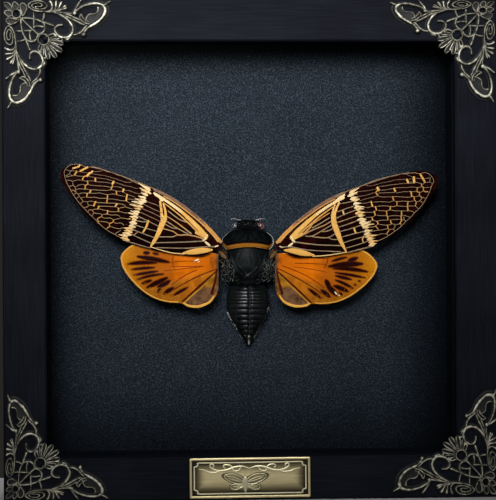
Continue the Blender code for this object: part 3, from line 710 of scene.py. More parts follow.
# Open strokes: points, then widths from one end to the other, then rise
SCROLLS = [
    ([(4.7, 13.5), (4.2, 12), (3.2, 10.8), (2.1, 10.1), (1, 11), (0.3, 12.6), (0.2, 14.2),
      (0.6, 15.6), (1.5, 16.7), (2.6, 17.1), (3.5, 16.5), (3.9, 15), (3.7, 13.3), (3.1, 12),
      (2.3, 11.4), (1.5, 12.2), (1.2, 13.6), (1.5, 14.9), (2.3, 15.3), (2.8, 14.5), (2.7, 13.4)],
     (0.7, 0.6, 0.55, 0.5), 1.1),
    ([(6.2, 27.2), (5.8, 24), (5.3, 20), (5, 16), (4.7, 13.5)], (0.8, 0.7, 0.8), 1.2),
    ([(0.5, 18.3), (1.6, 18.8), (3.4, 19), (4.6, 18.2)], (0.9, 0.7, 0.6), 1.0),
    ([(0.7, 20.5), (2.2, 20.4), (3.8, 20.2), (4.6, 19.2)], (0.9, 0.7, 0.6), 1.0),
    ([(1.1, 22.4), (2.4, 21.8), (3.8, 21.2), (4.6, 20.2)], (0.9, 0.7, 0.6), 1.0),
    ([(2.7, 23.7), (3.6, 22.6), (4.4, 21.3)], (0.9, 0.7, 0.6), 1.0),
    ([(4.7, 17.5), (4.7, 20), (4.4, 22), (3.6, 24)], (0.5, 0.6, 0.8), 0.9),
    ([(7.3, 8), (7.4, 10), (7.7, 12), (8.2, 13.6), (8.9, 15.2), (9.4, 16.6), (9.9, 18),
      (10.3, 19)], (0.7, 0.65, 0.8), 1.15),
    ([(5.2, 12), (7.5, 12.1), (9.5, 12), (10.9, 12)], (0.5, 0.6, 0.5), 0.9),
    ([(10.6, 12), (10.4, 13.5), (10.7, 15.4)], (0.5, 0.55, 0.6), 0.9),
    ([(5.8, 15.9), (7, 15.8), (8.4, 15.3)], (0.5, 0.6, 0.5), 0.9),
    ([(8.9, 15), (10, 15.9), (11.6, 16), (12.8, 15.2), (13.4, 13.9)], (0.6, 0.7, 0.6), 1.1),
    ([(16.6, 14.3), (17.6, 13.9), (18.4, 13.5), (19.3, 13.4), (20, 14.2)], (0.5, 0.55, 0.8), 1.0),
    ([(10.2, 22.4), (10.4, 20.8), (11.4, 19.8), (12.8, 19.9), (14.1, 20.9), (14.8, 22.4),
      (14.9, 24), (14.2, 25.4), (12.8, 26.2), (11.2, 26.3), (9.6, 25.6), (8.2, 24.4), (7, 22.8),
      (6.1, 21.2), (5.6, 20)], (0.7, 0.9, 1.2, 1.0, 0.7), 1.35),
    ([(15.2, 23.2), (15.5, 24.2), (14.9, 25.3)], (0.6, 0.9, 0.5), 1.0),
    ([(14.6, 21.8), (15.8, 22.4), (16.2, 21.4)], (0.5, 0.6, 0.5), 0.9),
    ([(6.2, 21.8), (7.2, 24.4), (8.3, 26.6), (9.6, 29), (10.2, 30.5)], (0.5, 0.7, 0.6), 1.0),
    ([(5.9, 23), (6.6, 25.3), (7.6, 27.2), (8.4, 29)], (0.5, 0.6, 0.5), 0.9),
    ([(13.8, 26), (13.9, 27.3), (13.4, 28.6), (12.6, 29.8), (11.6, 30.6), (10.8, 31.4)],
     (0.6, 0.8, 0.6), 1.1),
    ([(2.6, 38.2), (1.8, 39.3), (1.0, 40.4)], (1.0, 0.8, 0.5), 1.2),
    ([(5.2, 27.3), (3.4, 27.9), (1.6, 28.9), (0.3, 29.6)], (1.0, 0.9, 0.7, 0.5), 1.1),
    ([(6.4, 29.5), (7.6, 29), (8.8, 29.8), (9.7, 31), (10, 32.4)], (0.5, 0.6, 0.6), 1.0),
    ([(6.5, 29.7), (7.6, 30.2), (8.6, 31.2), (9.2, 32.4)], (0.5, 0.5, 0.5), 0.9),
    ([(9, 31.2), (7.6, 31.6), (6.5, 32.6), (6.4, 33.9), (6, 35.2), (4.8, 35.9), (3.6, 35.9)],
     (0.5, 0.6, 0.5, 0.7), 1.0),
]
TEARDROP = [(5.6, 27.2), (4.4, 28.4), (3.2, 30), (2.4, 31.8), (1.9, 33.6), (1.8, 35.4),
            (2.3, 37.2), (3.4, 38.2), (5, 38.5), (6.8, 38), (8.4, 36.8), (9.8, 35), (10.8, 33.2),
            (11.6, 31.8), (13, 30.6)]
LEAF = [(9.4, 31.6), (7.6, 31.7), (6.5, 32.6), (6.4, 33.9), (6, 35.2), (4.8, 35.9), (3.2, 36),
        (3.4, 37.6), (5, 38.2), (6.8, 37.6), (8.4, 36.4), (9.8, 34.6), (10.6, 33)]
# Knobs: centre and radius
KNOBS = [((13.9, 30.3), 1.15), ((5.9, 27.2), 1.25), ((2.9, 13.0), 0.5), ((0.6, 29.6), 0.45)]
STEM = [(6.8, 6.8), (8, 8), (9.5, 9.6), (11.3, 11.4), (13.6, 13.6)]
HUB_CENTRE = 5.65
# Petals of the shell: angle from the diagonal in degrees, then reach
SHELL_PETALS = [(-54, 5.8), (-32, 7.0), (-11, 7.6), (11, 7.6), (32, 7.0), (54, 5.8)]


def knob(piece, centre, radius, rise, place):
    """A small round boss."""
    leans = np.linspace(0, math.pi / 2, 5, endpoint=False)
    rings = [circle(centre, radius * math.cos(lean), rise * math.sin(lean), 12) for lean in leans]
    loft(piece, rings, place, crest=np.repeat(np.sin(leans), 12))


def web(piece, loop, rise, place, crest=0.1):
    """A low dark floor inside an outlined petal."""
    steps = ((0.98, 0.0), (0.98, rise), (0.5, rise * 0.7))
    loft(piece, shrinking(loop, 0.6, steps), place, crest=crest)


def shell_petal(piece, angle, reach, place):
    """One plump petal of the shell, widest near its tip."""
    turn = math.radians(45 + angle)
    along = np.array([math.cos(turn), math.sin(turn)])
    points = [SHELL_CENTRE + along * r for r in (2.2, 3.4, 4.6, reach - 1.3, reach - 0.6)]
    stroke(piece, with_width(points, 0.8, 1.3, 1.8, 2.3, 2.1), 1.1, place, BANDED)


def build_corners(finish):
    """Four pierced castings drawn by their raised lines."""
    for name, corner in CORNERS.items():
        straight = corner_place(*corner)

        def flipped(a, b, d):
            return straight(b, a, d)

        piece = Piece()
        for place in (straight, flipped):
            for loop in HUB_PETALS:
                web(piece, loop, 0.5, place)
                stroke(piece, with_width(loop, 0.75), 1.2, place, CAST_LINE, closed=True)
            web(piece, LEAF, 0.6, place, 0.5)
            for points, widths, rise in SCROLLS:
                line = with_width(points, *(w * CAST_WIDER for w in widths))
                stroke(piece, line, rise, place, CAST_LINE)
            stroke(piece, with_width(TEARDROP, 1.1, 1.6, 2.1, 1.7, 1.1), 1.5, place, CAST_LINE)
            for centre, radius in KNOBS:
                knob(piece, centre, radius, 1.5, place)
        web(piece, CORNER_PETAL, 0.5, straight)
        stroke(piece, with_width(CORNER_PETAL, 0.75), 1.2, straight, CAST_LINE, closed=True)
        for middle, radius, width in ((HUB_CENTRE, 1.8, 0.95), (SHELL_CENTRE, 2.0, 0.85)):
            stroke(piece, circle((middle, middle), radius, width), 1.5, straight, closed=True,
                   spacing=0.3)
        stroke(piece, with_width(STEM, 0.6, 0.75, 0.9), 1.2, straight, CAST_LINE)
        for angle, reach in SHELL_PETALS:
            shell_petal(piece, angle, reach, straight)
        piece.finish(f"{name}_casting", finish.material, "aged_bronze", [name])


# Nameplate

PLATE_WIDTH = 45.0
PLATE_HEIGHT = 15.0
PLATE_CENTRE_X = -1.1
PLATE_CENTRE_Z = 8.4
PLATE_TILT = math.radians(0.3)

# Rings of the plate from its back to its field: inset, height and darkening
PLATE_RINGS = [(0.25, 0.0, 0.6), (0.0, 0.2, 0.5), (0.0, 1.35, 0.25), (0.08, 1.52, 0.05),
               (0.25, 1.6, 0.0), (0.8, 1.6, 0.0), (0.95, 1.5, 0.4), (1.05, 1.3, 1.0),
               (1.3, 1.25, 1.0), (1.6, 1.27, 1.0), (2.2, 1.3, 0.95), (2.9, 1.33, 0.75),
               (3.8, 1.35, 0.42), (5.0, 1.36, 0.15), (6.6, 1.36, 0.0)]
PLATE_CORNER = 0.5
BORDER_INSET = 1.75
BORDER_NOTCH = 1.5
# Heights at which the raised lines of the plate stand
FIELD_UP = 1.3
EMBLEM_EDGE_UP = 1.33
EMBLEM_BODY_UP = 1.36
EMBLEM_LINE_UP = 1.4
EMBLEM_JOINT_UP = 1.5
EMBLEM_JOINTS = (-0.9, -1.5, -2.1, -2.7)


def plate_place(x, z, d):
    """Where a point of the nameplate lies."""
    cos = math.cos(PLATE_TILT)
    sin = math.sin(PLATE_TILT)
    x, z, d = np.broadcast_arrays(x, z, d)
    return np.stack([PLATE_CENTRE_X + x * cos - z * sin, at_depth(-TOUCH - d),
                     PLATE_CENTRE_Z + x * sin + z * cos], axis=-1)


def rounded_box(inward, radius, per_side=24, per_corner=5):
    """Points of a rounded rectangle inside the plate's edge."""
    half_w = PLATE_WIDTH / 2 - inward
    half_h = PLATE_HEIGHT / 2 - inward
    radius = max(radius - inward * 0.3, 0.15)
    rows = []
    for turn, (sx, sz) in enumerate(((1, 1), (-1, 1), (-1, -1), (1, -1))):
        centre = np.array([sx * (half_w - radius), sz * (half_h - radius)])
        angles = math.pi / 2 * (turn + np.linspace(0, 1, per_corner))
        rows.append(centre + radius * np.column_stack([np.cos(angles), np.sin(angles)]))
    points = []
    for one, two in zip(rows, rows[1:] + rows[:1]):
        points.append(one)
        share = np.linspace(0, 1, per_side + 2)[1:-1, None]
        points.append(one[-1] * (1 - share) + two[0] * share)
    return np.vstack(points)


# Emblem: an insect with spread wings, drawn for its left half from its middle
EMBLEM_FOREWING = [(-0.7, 1.0), (-1.4, 2.1), (-2.8, 2.9), (-4.4, 3.4), (-6.2, 3.4), (-7.5, 3.1),
                   (-7.9, 2.5), (-7.2, 1.6), (-6.0, 0.8), (-4.4, 0.1), (-2.8, -0.3), (-0.9, -0.2)]
EMBLEM_HINDWING = [(-0.9, -0.5), (-2.6, -0.5), (-4.2, -0.4), (-5.3, -0.9), (-5.4, -1.7),
                   (-4.5, -2.3), (-3.0, -2.3), (-1.7, -1.7), (-0.8, -1.2)]
EMBLEM_LINES = [
    [(-0.8, 0.6), (-2.6, 1.5), (-4.6, 2.2), (-6.9, 2.6)],
    [(-0.8, 0.3), (-2.8, 0.8), (-4.8, 1.4), (-6.5, 1.9)],
    [(-0.8, -0.8), (-2.6, -1.1), (-4.6, -1.3)],
    [(-0.8, -1.0), (-2.2, -1.6), (-3.4, -1.9)],
    [(-0.35, 2.5), (-0.9, 3.2), (-1.6, 3.5)],
]
EMBLEM_BODY = [(0.0, 2.1, 0.9), (0.0, 1.8, 1.7), (0.0, 1.1, 2.3), (0.0, 0.2, 2.6), (0.0, -0.8, 2.3),
               (0.0, -2.0, 1.7), (0.0, -3.0, 0.9), (0.0, -3.5, 0.4)]
EMBLEM_CENTRE = (-1.8, -1.9)
# Rings of an emblem wing from its dark surround, a painted shadow round the raised wing, to its
# middle: share, height and darkening
EMBLEM_RINGS = [(1.3, 1.3, 0.3), (1.3, 1.37, 0.3), (1.12, 1.38, 0.9), (1.0, 1.38, 1.0),
                (0.98, 1.42, 0.55), (0.5, 1.44, 0.35)]
FLOURISH_SCALE = (1.2, 1.25, 1.7)
FLOURISH = [
    [(0.0, 0.1, 0.25), (2.2, 0.7, 0.4), (4.6, 0.5, 0.5), (7.0, -0.3, 0.5), (9.4, -0.5, 0.45),
     (11.4, 0.1, 0.4), (12.3, 0.9, 0.35), (11.9, 1.5, 0.35), (11.1, 1.2, 0.35), (11.2, 0.6, 0.3)],
    [(5.2, 0.4, 0.3), (6.2, 1.1, 0.4), (7.6, 1.2, 0.4), (8.2, 0.7, 0.35), (7.7, 0.3, 0.3)],
    [(9.2, -0.5, 0.3), (10.6, -1.0, 0.4), (12.4, -0.9, 0.4), (14.2, -0.2, 0.3), (15.6, 0.0, 0.2)],
    [(2.6, 0.6, 0.25), (3.4, -0.4, 0.35), (4.6, -0.7, 0.35), (5.2, -0.2, 0.3)],
]
FLOURISH_CENTRE = (-0.2, 3.4)


def build_nameplate(finish):
    """A brushed plate with a rim, a notched raised border, a small scroll and an insect emblem."""
    piece = Piece()
    rings = []
    for inward, up, _ in PLATE_RINGS:
        ring = rounded_box(inward, PLATE_CORNER)
        rings.append(np.column_stack([ring, np.full(len(ring), up)]))
    darks = [dark for _, _, dark in PLATE_RINGS]
    loft(piece, rings, plate_place, dark=np.repeat(darks, len(rings[0])))

    half_w = PLATE_WIDTH / 2 - BORDER_INSET
    half_h = PLATE_HEIGHT / 2 - BORDER_INSET
    turns = np.linspace(0, math.pi / 2, 5)
    border = []
    for sx, sz in ((1, 1), (-1, 1), (-1, -1), (1, -1)):
        arc = np.column_stack([half_w - BORDER_NOTCH * np.sin(turns),
                               half_h - BORDER_NOTCH * np.cos(turns)])
        arc = arc if sx * sz > 0 else arc[::-1]
        border.append(arc * (sx, sz))
    loop = []
    for one, two in zip(border, border[1:] + border[:1]):
        loop += list(one)
        for share in np.linspace(0, 1, 8)[1:-1]:
            loop.append(one[-1] * (1 - share) + two[0] * share)
    stroke(piece, with_width(loop, 0.55), 0.3, plate_place, FLAT, base=FIELD_UP, closed=True,
           spacing=0.35)

    cx, cz = EMBLEM_CENTRE
    for side in (1, -1):
        def emblem(x, z, d, side=side):
            return plate_place(cx + side * x, cz + z, d)

        for loop in (EMBLEM_FOREWING, EMBLEM_HINDWING):
            rings = shrinking(loop, 0.4, [(share, up) for share, up, _ in EMBLEM_RINGS])
            darks = [dark for _, _, dark in EMBLEM_RINGS]
            loft(piece, rings, emblem, dark=np.repeat(darks, len(rings[0])))
            stroke(piece, with_width(loop, 0.34), 0.24, emblem, SLIM, base=EMBLEM_EDGE_UP,
                   closed=True, spacing=0.3, dark=0.25)
        for line in EMBLEM_LINES:
            stroke(piece, with_width(line, 0.2, 0.22, 0.16), 0.16, emblem, SLIM,
                   base=EMBLEM_LINE_UP, spacing=0.3)

        def flourish(x, z, d, side=side):
            return plate_place(FLOURISH_CENTRE[0] + side * x, FLOURISH_CENTRE[1] + z, d)

        for line in FLOURISH:
            stroke(piece, np.array(line) * FLOURISH_SCALE, 0.28, flourish, base=FIELD_UP,
                   spacing=0.3)

    def middle_emblem(x, z, d):
        return plate_place(cx + x, cz + z, d)

    stroke(piece, EMBLEM_BODY, 0.24, middle_emblem, FLAT, base=EMBLEM_BODY_UP, spacing=0.3,
           dark=0.5)
    for z in EMBLEM_JOINTS:
        stroke(piece, with_width([(-0.5, z), (0.0, z - 0.15), (0.5, z)], 0.18), 0.1, middle_emblem,
               SLIM, base=EMBLEM_JOINT_UP, spacing=0.3)
    piece.finish("nameplate_plate", finish.material, "brushed_brass", ["nameplate"], 35)


# Body

# Mark of places away from the orange collar
NO_BAND = -1.0


def rounded(value, fullness):
    """A sine or cosine bent towards a box (fullness over 1) or a diamond (under 1)."""
    return np.copysign(np.abs(value) ** (1 / fullness), value)


# Sections: v, half width, and the heights of the lower and upper side
HEAD = [(7.75, 4.9, 3.4, 10.4), (8.7, 5.5, 2.8, 10.7), (9.8, 5.0, 3.0, 10.3), (10.7, 3.5, 4.2, 9.5),
        (11.1, 1.8, 5.6, 8.4)]
PRONOTUM = [(7.3, 4.4, 3.2, 10.9), (6.3, 7.2, 2.6, 11.9), (4.4, 9.3, 2.2, 12.6),
            (2.4, 9.7, 1.9, 13.0), (1.0, 9.3, 1.8, 13.0), (-0.4, 8.0, 1.8, 12.7)]
THORAX = [(-0.9, 7.6, 1.6, 12.3), (-3.0, 9.0, 0.9, 12.9), (-6.0, 9.6, 0.3, 13.0),
          (-9.0, 9.2, 0.3, 12.6), (-12.0, 7.6, 0.6, 11.4), (-13.5, 6.4, 1.0, 10.6)]
ABDOMEN = [(-13.9, 6.3, 1.0, 10.4), (-16.0, 7.6, 0.7, 10.9), (-19.0, 8.1, 0.5, 10.6),
           (-23.0, 8.0, 0.5, 9.6), (-26.0, 6.9, 0.6, 8.6), (-30.0, 4.6, 1.0, 7.2),
           (-34.0, 2.4, 1.6, 5.6), (-36.8, 0.8, 2.6, 4.3)]
PRONOTUM_BOW = 1.1


def no_bow(f):
    """Sections that lie straight across the body."""
    return 0.0 * f


def body_part(piece, stations, rings, sides, relief, marks, bow=no_bow, fullness=1.0):
    """A closed body through oval sections, its upper side shaped by a relief of (u, v)."""
    rows = catmull(stations, rings)
    f = np.linspace(0, 1, rings + 1)[:, None]
    t = np.linspace(0, 2 * math.pi, sides, endpoint=False)[None]
    v0, half, low, high = (rows[:, i:i + 1] for i in range(4))
    u = half * rounded(np.cos(t), fullness)
    v = v0 + bow(f) * (1 - np.cos(t) ** 2)
    h = (low + high) / 2 + (high - low) / 2 * rounded(np.sin(t), fullness)
    top = smooth_step(np.sin(t), 0.0, 0.25) + 0 * v
    lift = relief(u, v) * top
    lean = np.cos(t) + 0 * v
    u2 = u + lift * lean * 0.6
    h2 = h + lift * np.sin(t)
    places = on_board(u2, v, h2).reshape(-1, 3)
    given = {name: np.where(top > 0.02, values, NO_BAND if name == "band" else 0.0).ravel()
             for name, values in marks(u, v).items()}
    piece.add(places, tube_faces(rings + 1, sides), **given)


def line_depth(u, v, lines):
    """Depth inside lines with widths for grids of u and v."""
    places = np.column_stack([u.ravel(), v.ravel()])
    return depth_inside(places, lines).reshape(u.shape)


def both_sides(lines):
    """Lines (u, v, width) and their mirror images."""
    return lines + [[(-u, v, w) for u, v, w in line] for line in lines]


HEAD_GROOVES = both_sides([[(0.0, 10.6, 0.3), (0.0, 8.0, 0.35)],
                           [(1.2, 8.0, 0.4), (1.6, 9.2, 0.35), (2.9, 10.0, 0.3)],
                           [(2.6, 8.0, 0.3), (3.4, 9.0, 0.4), (4.2, 9.6, 0.3)]])
PRONOTUM_GROOVES = both_sides([[(0.9, 7.6, 0.4), (1.5, 6.0, 0.6), (2.6, 4.4, 0.6), (3.6, 3.4, 0.4)],
                               [(4.6, 6.9, 0.3), (5.0, 5.4, 0.6), (6.2, 3.9, 0.7), (7.6, 3.0, 0.4)],
                               [(0.0, 7.0, 0.3), (0.0, 5.0, 0.4), (0.0, 3.0, 0.8)],
                               [(8.2, 5.4, 0.2), (8.4, 4.2, 0.5), (8.6, 3.0, 0.3)]])
CROSS_RIDGES = [[(-3.7, -6.4, 0.3), (-2.3, -8.1, 0.4), (-1.0, -9.4, 0.6), (-0.4, -9.9, 1.0)],
                [(3.4, -7.0, 0.3), (2.0, -8.5, 0.4), (0.5, -9.5, 0.6), (-0.4, -9.9, 1.0)],
                [(-0.4, -9.9, 1.0), (-1.1, -10.6, 0.5), (-2.0, -11.5, 0.35)],
                [(-0.4, -9.9, 1.0), (0.3, -10.6, 0.5), (1.1, -11.4, 0.35)]]
THORAX_LINES = both_sides([[(0.7, -1.4, 0.2), (1.2, -3.4, 0.35), (1.4, -5.6, 0.2)],
                           [(3.2, -1.4, 0.2), (3.9, -3.6, 0.35), (4.0, -5.8, 0.2)]])
SIDE_RIDGES = both_sides([[(7.2, -1.2, 0.25), (6.1, -4.4, 0.35), (5.1, -6.9, 0.35),
                           (4.3, -8.9, 0.3)],
                          [(6.8, -11.9, 0.3), (5.2, -12.0, 0.4), (3.6, -11.7, 0.3)]])
# Half width of the raised shield of the thorax by v
SHIELD_V = (-13.5, -10.5, -8.5, -4.5, -1.0)
SHIELD_HALF = (1.8, 2.8, 4.5, 6.1, 7.4)
SEGMENT_EDGES = [-13.9, -15.6, -17.2, -18.5, -19.7, -21.0, -22.9, -25.1, -27.2, -29.1, -31.0, -33.0,
                 -36.9]


def band_edges(u):
    """Front and rear edge of the orange collar at a distance from the middle."""
    wide = np.abs(u)
    front = 2.0 - 0.016 * wide ** 2
    front = np.where(wide > 8.2, front + 1.3 * (wide - 8.2), front)
    rear = 0.5 - 0.019 * wide ** 2
    return front, rear


def head_relief(u, v):
    """Grooved middle between two low swellings."""
    grooves = line_depth(u, v, HEAD_GROOVES)
    return -0.3 * smooth_step(grooves, -0.25, 0.2) + 0.25 * bump_at(np.abs(u), 3.9, 1.2)


def head_marks(u, v):
    """Dull black with browner sides."""
    brown = 0.25 * bump_at(np.abs(u), 5.2, 1.2)
    return {"dull": 0.9 + 0 * u, "band": NO_BAND + 0 * u, "brown": brown}


def pronotum_relief(u, v):
    """Grooved shield with a furrow before its raised collar."""
    grooves = line_depth(u, v, PRONOTUM_GROOVES)
    front, _ = band_edges(u)
    collar = smooth_step(front - v, -0.3, 0.15)
    furrow = bump_at(v, front + 0.45, 0.55)
    return -0.42 * smooth_step(grooves, -0.3, 0.25) * (1 - collar) + 0.12 * collar - 0.3 * furrow


def pronotum_marks(u, v):
    """Orange collar with pale specks along it, and painted highlights along the shield's sides,
    lighter on the right.
    """
    front, rear = band_edges(u)
    depth = np.minimum(front - v, v - rear) + 0.1
    wide = np.abs(u)
    pale = bump_at(v, rear + 0.12, 0.32) * smooth_step(wide, 1.0, 4.0) * 0.75
    # Painted highlight along the shield's side rims, lighter on the right
    edge = smooth_step(v, 2.4, 3.2) * (1 - smooth_step(v, 6.0, 6.8)) * smooth_step(wide, 8.4, 9.2)
    right = np.where(u > 0, 0.3, 0.1)
    return {"band": depth, "pale": np.maximum(pale, edge * right), "dull": 0.85 + 0 * u,
            "brown": 0.2 * smooth_step(wide, 7.5, 9.3)}


def thorax_relief(u, v):
    """A raised shield over a crossed ridge, with lower ragged sides."""
    ridge = line_depth(u, v, CROSS_RIDGES)
    lines = line_depth(u, v, THORAX_LINES)
    sides = line_depth(u, v, SIDE_RIDGES)
    beyond = np.abs(u) - np.interp(v, SHIELD_V, SHIELD_HALF)
    dip = (bump_at(v, -8.9, 2.0) * (1 - smooth_step(np.abs(u), 1.0, 3.4))
           + 0.6 * bump_at(v, -12.2, 1.4))
    ragged = smooth_step(beyond, 0.3, 1.2) * (np.sin(u * 3.1 + v * 1.7) + np.sin(v * 4.3 - u * 2.3))
    return (0.5 * smooth_step(ridge, -0.25, 0.3) - 0.14 * smooth_step(lines, -0.3, 0.2)
            + 0.35 * smooth_step(sides, -0.2, 0.2) - 0.45 * dip
            - 0.8 * smooth_step(beyond, 0.0, 0.9) + 0.16 * ragged)


def thorax_marks(u, v):
    """Pale crests of the crossed ridge and the side ridges, painted highlights, and browner sides.
    """
    ridge = line_depth(u, v, CROSS_RIDGES)
    sides = line_depth(u, v, SIDE_RIDGES)
    # Painted highlights on the crests of the ridges
    pale = 0.3 * smooth_step(ridge, -0.05, 0.2) + 0.32 * smooth_step(sides, -0.02, 0.15)
    beyond = np.abs(u) - np.interp(v, SHIELD_V, SHIELD_HALF)
    return {"band": NO_BAND + 0 * u, "brown": 0.15 * smooth_step(np.abs(u), 8.0, 9.5), "pale": pale,
            "dull": 0.5 + 0.2 * smooth_step(beyond, 0.0, 1.0)}


def abdomen_relief(u, v):
    """Overlapping segments, a raised middle and lower side lobes."""
    edges = np.array(SEGMENT_EDGES)
    at = np.searchsorted(-edges, -v.ravel(), "right") - 1
    at = np.clip(at, 0, len(edges) - 2).reshape(v.shape)
    span = edges[at] - edges[at + 1]
    share = np.clip((edges[at] - v) / span, 0, 1)
    step = -np.minimum(0.3 * span, 0.62) * (1 - share) ** 2 - 0.22 * smooth_step(share, 0.86, 1.0)
    wide = np.abs(u)
    lobes = smooth_step(wide, 4.0, 6.4) * smooth_step(v, -27.0, -24.0)
    return step * (1 - 0.5 * lobes) - 0.5 * lobes - 0.5 * bump_at(u, 0.6, 1.0)


def abdomen_marks(u, v):
    """Glossy back with dull sides and a pale tip."""
    wide = np.abs(u)
    brown = 0.15 * smooth_step(wide, 5.2, 7.5) * smooth_step(v, -27.0, -22.0)
    dull = np.maximum(0.9 * smooth_step(wide, 3.4, 5.0), 0.9 * bump_at(u, 0.6, 0.9))
    tip = smooth_step(-v, 33.8, 35.8) * bump_at(u, 0.5, 0.8) * 0.6
    return {"band": NO_BAND + 0 * u, "brown": brown, "pale": tip, "dull": dull}


def hair(piece, root, tip, radius, bend, **marks):
    """A fine three-sided bristle between two insect places."""
    root = np.array(root)
    tip = np.array(tip)
    ahead = tip - root
    across = np.cross(ahead, (0.0, 0.0, 1.0))
    across /= max(np.linalg.norm(across), 1e-9)
    over = np.cross(across, ahead)
    over /= max(np.linalg.norm(over), 1e-9)
    rows = []
    for share in (0.0, 0.5, 1.0):
        middle = root + ahead * share + over * bend * share * (1 - share)
        r = radius * (1 - 0.85 * share)
        for turn in (0.0, 2.1, 4.2):
            rows.append(middle + r * (math.cos(turn) * across + math.sin(turn) * over))
    places = on_board(*np.array(rows).T)
    piece.add(places, tube_faces(3, 3), **marks)


# Places (u, v, h) along the fringe of each side
FRINGES = [
    [(-7.9, -24.0, 5.6), (-6.4, -26.7, 4.8), (-4.9, -29.2, 4.4), (-3.1, -32.0, 4.0),
     (-1.3, -34.9, 3.8)],
    [(8.0, -22.3, 5.8), (6.9, -24.6, 5.2), (5.4, -27.7, 4.6), (3.9, -31.0, 4.1),
     (2.3, -34.0, 3.9)],
]


def build_fringes(piece):
    """Pale hairs along the rear sides of the abdomen and at its tip."""
    for fringe in FRINGES:
        side = math.copysign(1.0, fringe[0][0])
        for root in catmull(fringe, 150):
            jitter = RANDOM.normal(0, 0.08, 3)
            length = RANDOM.uniform(0.3, 0.85)
            lean = RANDOM.uniform(0.2, 1.1)
            tip = root + jitter + (side * length * math.cos(lean), -length * math.sin(lean),
                                   RANDOM.uniform(-0.3, 0.5))
            hair(piece, root + jitter * (0.6, 0.6, 1.5) - (side * 0.2, 0, 0), tip,
                 0.024, 0.15, pale=RANDOM.uniform(0.3, 1.0), band=NO_BAND)
    for _ in range(70):
        u, v = RANDOM.normal(0, 0.45), RANDOM.uniform(-36.0, -33.0)
        root = np.array([u, v, 3.9 + 0.35 * (v - ABDOMEN[-1][0])])
        tip = root + (RANDOM.normal(0, 0.3), -RANDOM.uniform(0.2, 0.7), RANDOM.uniform(0.0, 0.25))
        hair(piece, root, tip, 0.04, 0.1, pale=RANDOM.uniform(0.4, 1.0), band=NO_BAND)


# Plates of a wing's hinge, with u counted outwards: brown, pale (for many, a painted glint), rise,
# then rows (u, v, width)
HINGE_PLATES = [
    (0.1, 0.0, 0.5, [(8.4, -1.4, 1.6), (8.9, -2.4, 3.0), (8.6, -5.0, 3.4),
                     (8.4, -8.0, 3.2), (8.0, -10.6, 2.6), (7.4, -12.4, 1.2)]),
    (0.62, 0.1, 1.0, [(11.3, -0.9, 1.0), (10.2, -1.9, 1.9), (8.9, -3.2, 1.5)]),
    (0.5, 0.0, 0.9, [(9.7, -0.3, 0.6), (8.9, -1.3, 0.9), (8.3, -2.3, 0.6)]),
    (0.2, 0.0, 1.1, [(12.0, -0.9, 0.35), (11.0, -2.3, 0.4), (10.0, -3.6, 0.3)]),
    (0.5, 0.3, 0.9, [(13.4, -3.3, 0.5), (11.6, -4.2, 0.8), (10.1, -5.2, 0.7)]),
    (0.0, 0.55, 1.0, [(8.5, -0.9, 0.2), (8.1, -1.8, 0.25), (7.9, -2.8, 0.2)]),
    (0.0, 0.9, 1.2, [(9.6, -5.8, 0.3), (9.4, -6.4, 0.35)]),
    (0.1, 0.7, 1.1, [(10.3, -6.6, 0.3), (9.9, -7.0, 0.3)]),
    (0.0, 0.8, 1.2, [(7.2, -5.6, 0.22), (7.1, -6.6, 0.28), (6.9, -7.3, 0.2)]),
    (0.0, 0.6, 1.1, [(8.4, -6.4, 0.2), (8.1, -7.4, 0.25), (7.6, -8.2, 0.2)]),
    (0.4, 0.2, 1.0, [(9.3, -7.6, 0.5), (8.7, -8.6, 0.6), (8.6, -9.6, 0.4)]),
    (0.0, 0.65, 1.1, [(6.7, -8.2, 0.22), (6.0, -9.0, 0.26), (5.2, -9.4, 0.2)]),
    (0.0, 0.5, 1.0, [(7.6, -9.2, 0.25), (6.9, -9.9, 0.3), (6.7, -10.8, 0.25)]),
    (0.0, 0.75, 1.1, [(8.3, -11.9, 0.25), (7.8, -12.4, 0.3), (7.3, -12.6, 0.25)]),
    (0.0, 0.85, 1.2, [(6.0, -12.2, 0.3), (5.8, -12.4, 0.3)]),
    (0.3, 0.0, 0.9, [(7.7, -3.6, 0.5), (7.2, -4.8, 0.6), (7.5, -6.0, 0.4)]),
    (0.1, 0.5, 1.0, [(5.6, -10.6, 0.22), (4.7, -10.9, 0.26), (3.9, -10.6, 0.2)]),
    (0.0, 0.6, 1.0, [(9.2, -10.2, 0.22), (8.6, -10.9, 0.3), (8.8, -11.6, 0.2)]),
]
# Small raised grains on each hinge, painted pale as glints of light
HINGE_GLINT_GRAINS = 150


def hinge_height(wide, v):
    """How far off the board the hinge lies, by distance from the middle and v."""
    return 11.3 - 0.18 * (wide - 7.5) ** 2 * (wide > 7.5) - 0.05 * (v + 5) ** 2 / 5


def build_hinges(piece):
    """Jointed plates, ridges and small grains between the thorax and the wings, many painted pale
    as glints.
    """
    for side in (-1, 1):
        def place(wide, v, rise, side=side):
            return on_board(side * wide, v, hinge_height(wide, v) - 0.6 + rise)

        for brown, pale, rise, rows in HINGE_PLATES:
            stroke(piece, rows, rise, place, spacing=0.25, brown=brown, pale=pale * 0.55,
                   band=NO_BAND)
        # Grains painted pale: painted glints
        for _ in range(HINGE_GLINT_GRAINS):
            wide = RANDOM.uniform(5.2, 10.2)
            v = RANDOM.uniform(-12.4, -3.6)
            turn = RANDOM.uniform(0.6, 2.4)
            reach = RANDOM.uniform(0.03, 0.13)
            out, up = reach * math.cos(turn), reach * math.sin(turn)
            rows = [(wide - out, v - up, 0.14), (wide, v, 0.22), (wide + out, v + up, 0.14)]
            stroke(piece, rows, RANDOM.uniform(0.7, 1.1), place, SLIM, spacing=0.2,
                   pale=RANDOM.uniform(0.2, 1.0), brown=RANDOM.uniform(0.0, 0.2), band=NO_BAND)
